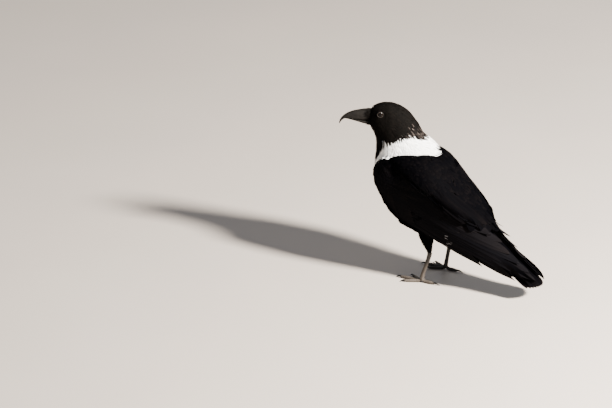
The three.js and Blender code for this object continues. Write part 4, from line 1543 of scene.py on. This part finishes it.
COAT_PIECES = {
    "plumage_face": ["face"],
    "plumage_crown": ["crown", "cheek"],
    "plumage_nape": ["nape", "hood"],
    "plumage_throat": ["throat"],
    "plumage_collar": ["collar"],
    "plumage_breast": ["breast"],
    "plumage_belly": ["belly", "rump", "thigh"],
    "plumage_mantle": ["mantle", "scapulars"],
    "plumage_lesser_coverts": ["lesser_coverts"],
    "plumage_wing_base": ["wing_base", "under_wing"],
}


def fill_tracts(tracts, coat, rng):
    for tract in tracts:
        if tract in feather_roots():
            feather_tract(coat, tract, rng)


def fill_wing(side, coat, rng):
    for row in WING_ROWS:
        feather_row(coat, row, side, rng)


def build_coat():
    coat_piece("plumage_bristles", bristles)
    coat_piece("plumage_loose", loose_feathers)
    for name, tracts in COAT_PIECES.items():
        coat_piece(name, functools.partial(fill_tracts, tracts))


def build_wing_feathers():
    for side, sign in SIDES.items():
        coat_piece(f"wing_feathers_{side}", functools.partial(fill_wing, sign))


def build_tail():
    coat_piece("tail_feathers", tail_feathers, "tail")


def build_bill():
    for part in ("upper", "lower"):
        bill = smooth_copy(f"mandible_{part}", f"bill_{part}", 3)
        finish_piece(bill, "bill", [bare_material("horn")], f"bill_{part}")


def build_claws():
    for side in SIDES:
        for toe in TOES:
            claw = smooth_copy(f"talon_{side}_{toe}", f"claw_{side}_{toe}", 3)
            finish_piece(claw, "claw", [bare_material("horn")], f"claw_{side}_{toe}")


# ---- stage -----------------------------------------------------------------------------------------
FRAME_SIZE = (612, 408)
SENSOR = 36
CAMERA_AZIMUTH = math.radians(210)
CAMERA_ELEVATION = math.radians(22)
CAMERA_DISTANCE = 10.0
FRAME_WIDTH = 1.055  # metres across the frame, where the bird stands
BIRD_PIXEL = (434.5, 275.2)  # where the point between the feet is in the frame
# Each light: the way to it from the bird, how far off it is, its width, its power and its tint.
LIGHTS = {
    "key": ((-0.93, 0.06, 0.62), 2.6, 0.36, 820, (1.0, 0.965, 0.91)),
    "fill": ((-0.1, 0.95, 0.35), 2.8, 2.2, 14, (0.88, 0.93, 1.0)),
    "back": ((0.1, -0.9, 0.5), 2.8, 1.6, 18, (1.0, 0.98, 0.95)),
}
LIT_PLACE = Vector((0, 0, 0.15))
SKY_TINT = (0.86, 0.9, 1.0, 1)
SKY_STRENGTH = 0.33


def build_stage():
    scene = bpy.context.scene
    select_none()
    bpy.ops.mesh.primitive_plane_add(size=24)
    floor = bpy.context.object
    floor.name = "floor"
    floor.data.materials.append(bare_material("floor_paint"))
    scene.world = bpy.data.worlds.new("studio")
    scene.world.use_nodes = True
    sky = scene.world.node_tree.nodes["Background"].inputs
    sky["Color"].default_value = SKY_TINT
    sky["Strength"].default_value = SKY_STRENGTH
    scene.camera = new_object("camera", bpy.data.cameras.new("camera"))
    aim_camera(scene.camera)
    for name, values in LIGHTS.items():
        add_light(name, *values)


def aim_camera(camera):
    """Stands the camera back from the bird and turns it until the bird is in its place in the frame."""
    back = Vector((
        math.sin(CAMERA_AZIMUTH) * math.cos(CAMERA_ELEVATION),
        -math.cos(CAMERA_AZIMUTH) * math.cos(CAMERA_ELEVATION),
        math.sin(CAMERA_ELEVATION),
    ))
    camera.data.sensor_width = SENSOR
    camera.data.lens = SENSOR * CAMERA_DISTANCE / FRAME_WIDTH
    camera.data.clip_end = 60
    camera.location = Vector(ORIGIN) + back * CAMERA_DISTANCE
    pixels = camera.data.lens / SENSOR * FRAME_SIZE[0]
    off_x = (BIRD_PIXEL[0] - FRAME_SIZE[0] / 2) / pixels
    off_y = -(BIRD_PIXEL[1] - FRAME_SIZE[1] / 2) / pixels
    plain = (-back).to_track_quat("-Z", "Y").to_matrix()
    yaw = Matrix.Rotation(math.atan(off_x) / math.cos(CAMERA_ELEVATION), 3, "Z")
    pitch = Matrix.Rotation(-math.atan(off_y), 3, "X")
    camera.rotation_euler = (yaw @ plain @ pitch).to_euler()


def add_light(name, way, distance, size, power, tint):
    """A soft area light that looks at the bird."""
    data = bpy.data.lights.new(name, "AREA")
    data.shape = "DISK"
    data.size = size
    data.energy = power
    data.color = tint
    light = new_object(name, data)
    way = Vector(way).normalized()
    light.location = LIT_PLACE + way * distance
    light.rotation_euler = (-way).to_track_quat("-Z", "Y").to_euler()


# ---- operators and panel ---------------------------------------------------------------------------
class CROW_OT_skin(bpy.types.Operator):
    """Make the one skin of the body, legs and lids"""

    bl_idname = "crow.skin"
    bl_label = "Skin"

    def execute(self, context):
        build_skin()
        return {"FINISHED"}


class CROW_OT_eyes(bpy.types.Operator):
    """Make the eyeballs"""

    bl_idname = "crow.eyes"
    bl_label = "Eyes"

    def execute(self, context):
        build_eyes()
        return {"FINISHED"}


class CROW_OT_bill(bpy.types.Operator):
    """Make both halves of the bill"""

    bl_idname = "crow.bill"
    bl_label = "Bill"

    def execute(self, context):
        build_bill()
        return {"FINISHED"}


class CROW_OT_claws(bpy.types.Operator):
    """Make the claws"""

    bl_idname = "crow.claws"
    bl_label = "Claws"

    def execute(self, context):
        build_claws()
        return {"FINISHED"}


class CROW_OT_coat(bpy.types.Operator):
    """Make the feathers of the head and body"""

    bl_idname = "crow.coat"
    bl_label = "Body feathers"

    def execute(self, context):
        build_coat()
        return {"FINISHED"}


class CROW_OT_wing_feathers(bpy.types.Operator):
    """Make the coverts and flight feathers"""

    bl_idname = "crow.wing_feathers"
    bl_label = "Wing feathers"

    def execute(self, context):
        build_wing_feathers()
        return {"FINISHED"}


class CROW_OT_tail(bpy.types.Operator):
    """Make the tail feathers"""

    bl_idname = "crow.tail"
    bl_label = "Tail"

    def execute(self, context):
        build_tail()
        return {"FINISHED"}


class CROW_OT_stage(bpy.types.Operator):
    """Make the floor, the lights and the camera"""

    bl_idname = "crow.stage"
    bl_label = "Stage"

    def execute(self, context):
        build_stage()
        return {"FINISHED"}


OPERATORS = (
    CROW_OT_skin, CROW_OT_eyes, CROW_OT_bill, CROW_OT_claws, CROW_OT_coat, CROW_OT_wing_feathers,
    CROW_OT_tail, CROW_OT_stage,
)


class CROW_PT_panel(bpy.types.Panel):
    """Lists the crow's pieces and settings"""

    bl_label = "Pied crow"
    bl_idname = "CROW_PT_panel"
    bl_space_type = "VIEW_3D"
    bl_region_type = "UI"
    bl_category = "Crow"

    def draw(self, context):
        for made in OPERATORS:
            self.layout.operator(made.bl_idname)
        for settings in (sizes(), colours()):
            box = self.layout.box()
            for name in type(settings).__annotations__:
                box.prop(settings, name)


CLASSES = (CrowSizes, CrowColours, *OPERATORS, CROW_PT_panel)


def register():
    for made in CLASSES:
        bpy.utils.register_class(made)
    bpy.types.Scene.crow_sizes = bpy.props.PointerProperty(type=CrowSizes)
    bpy.types.Scene.crow_colours = bpy.props.PointerProperty(type=CrowColours)


def unregister():
    del bpy.types.Scene.crow_colours
    del bpy.types.Scene.crow_sizes
    for made in reversed(CLASSES):
        bpy.utils.unregister_class(made)


def main():
    register()
    bpy.ops.crow.skin()
    bpy.ops.crow.eyes()
    bpy.ops.crow.bill()
    bpy.ops.crow.claws()
    bpy.ops.crow.coat()
    bpy.ops.crow.wing_feathers()
    bpy.ops.crow.tail()
    bpy.ops.crow.stage()
    bpy.data.objects.remove(body_form())


if __name__ == "__main__":
    main()
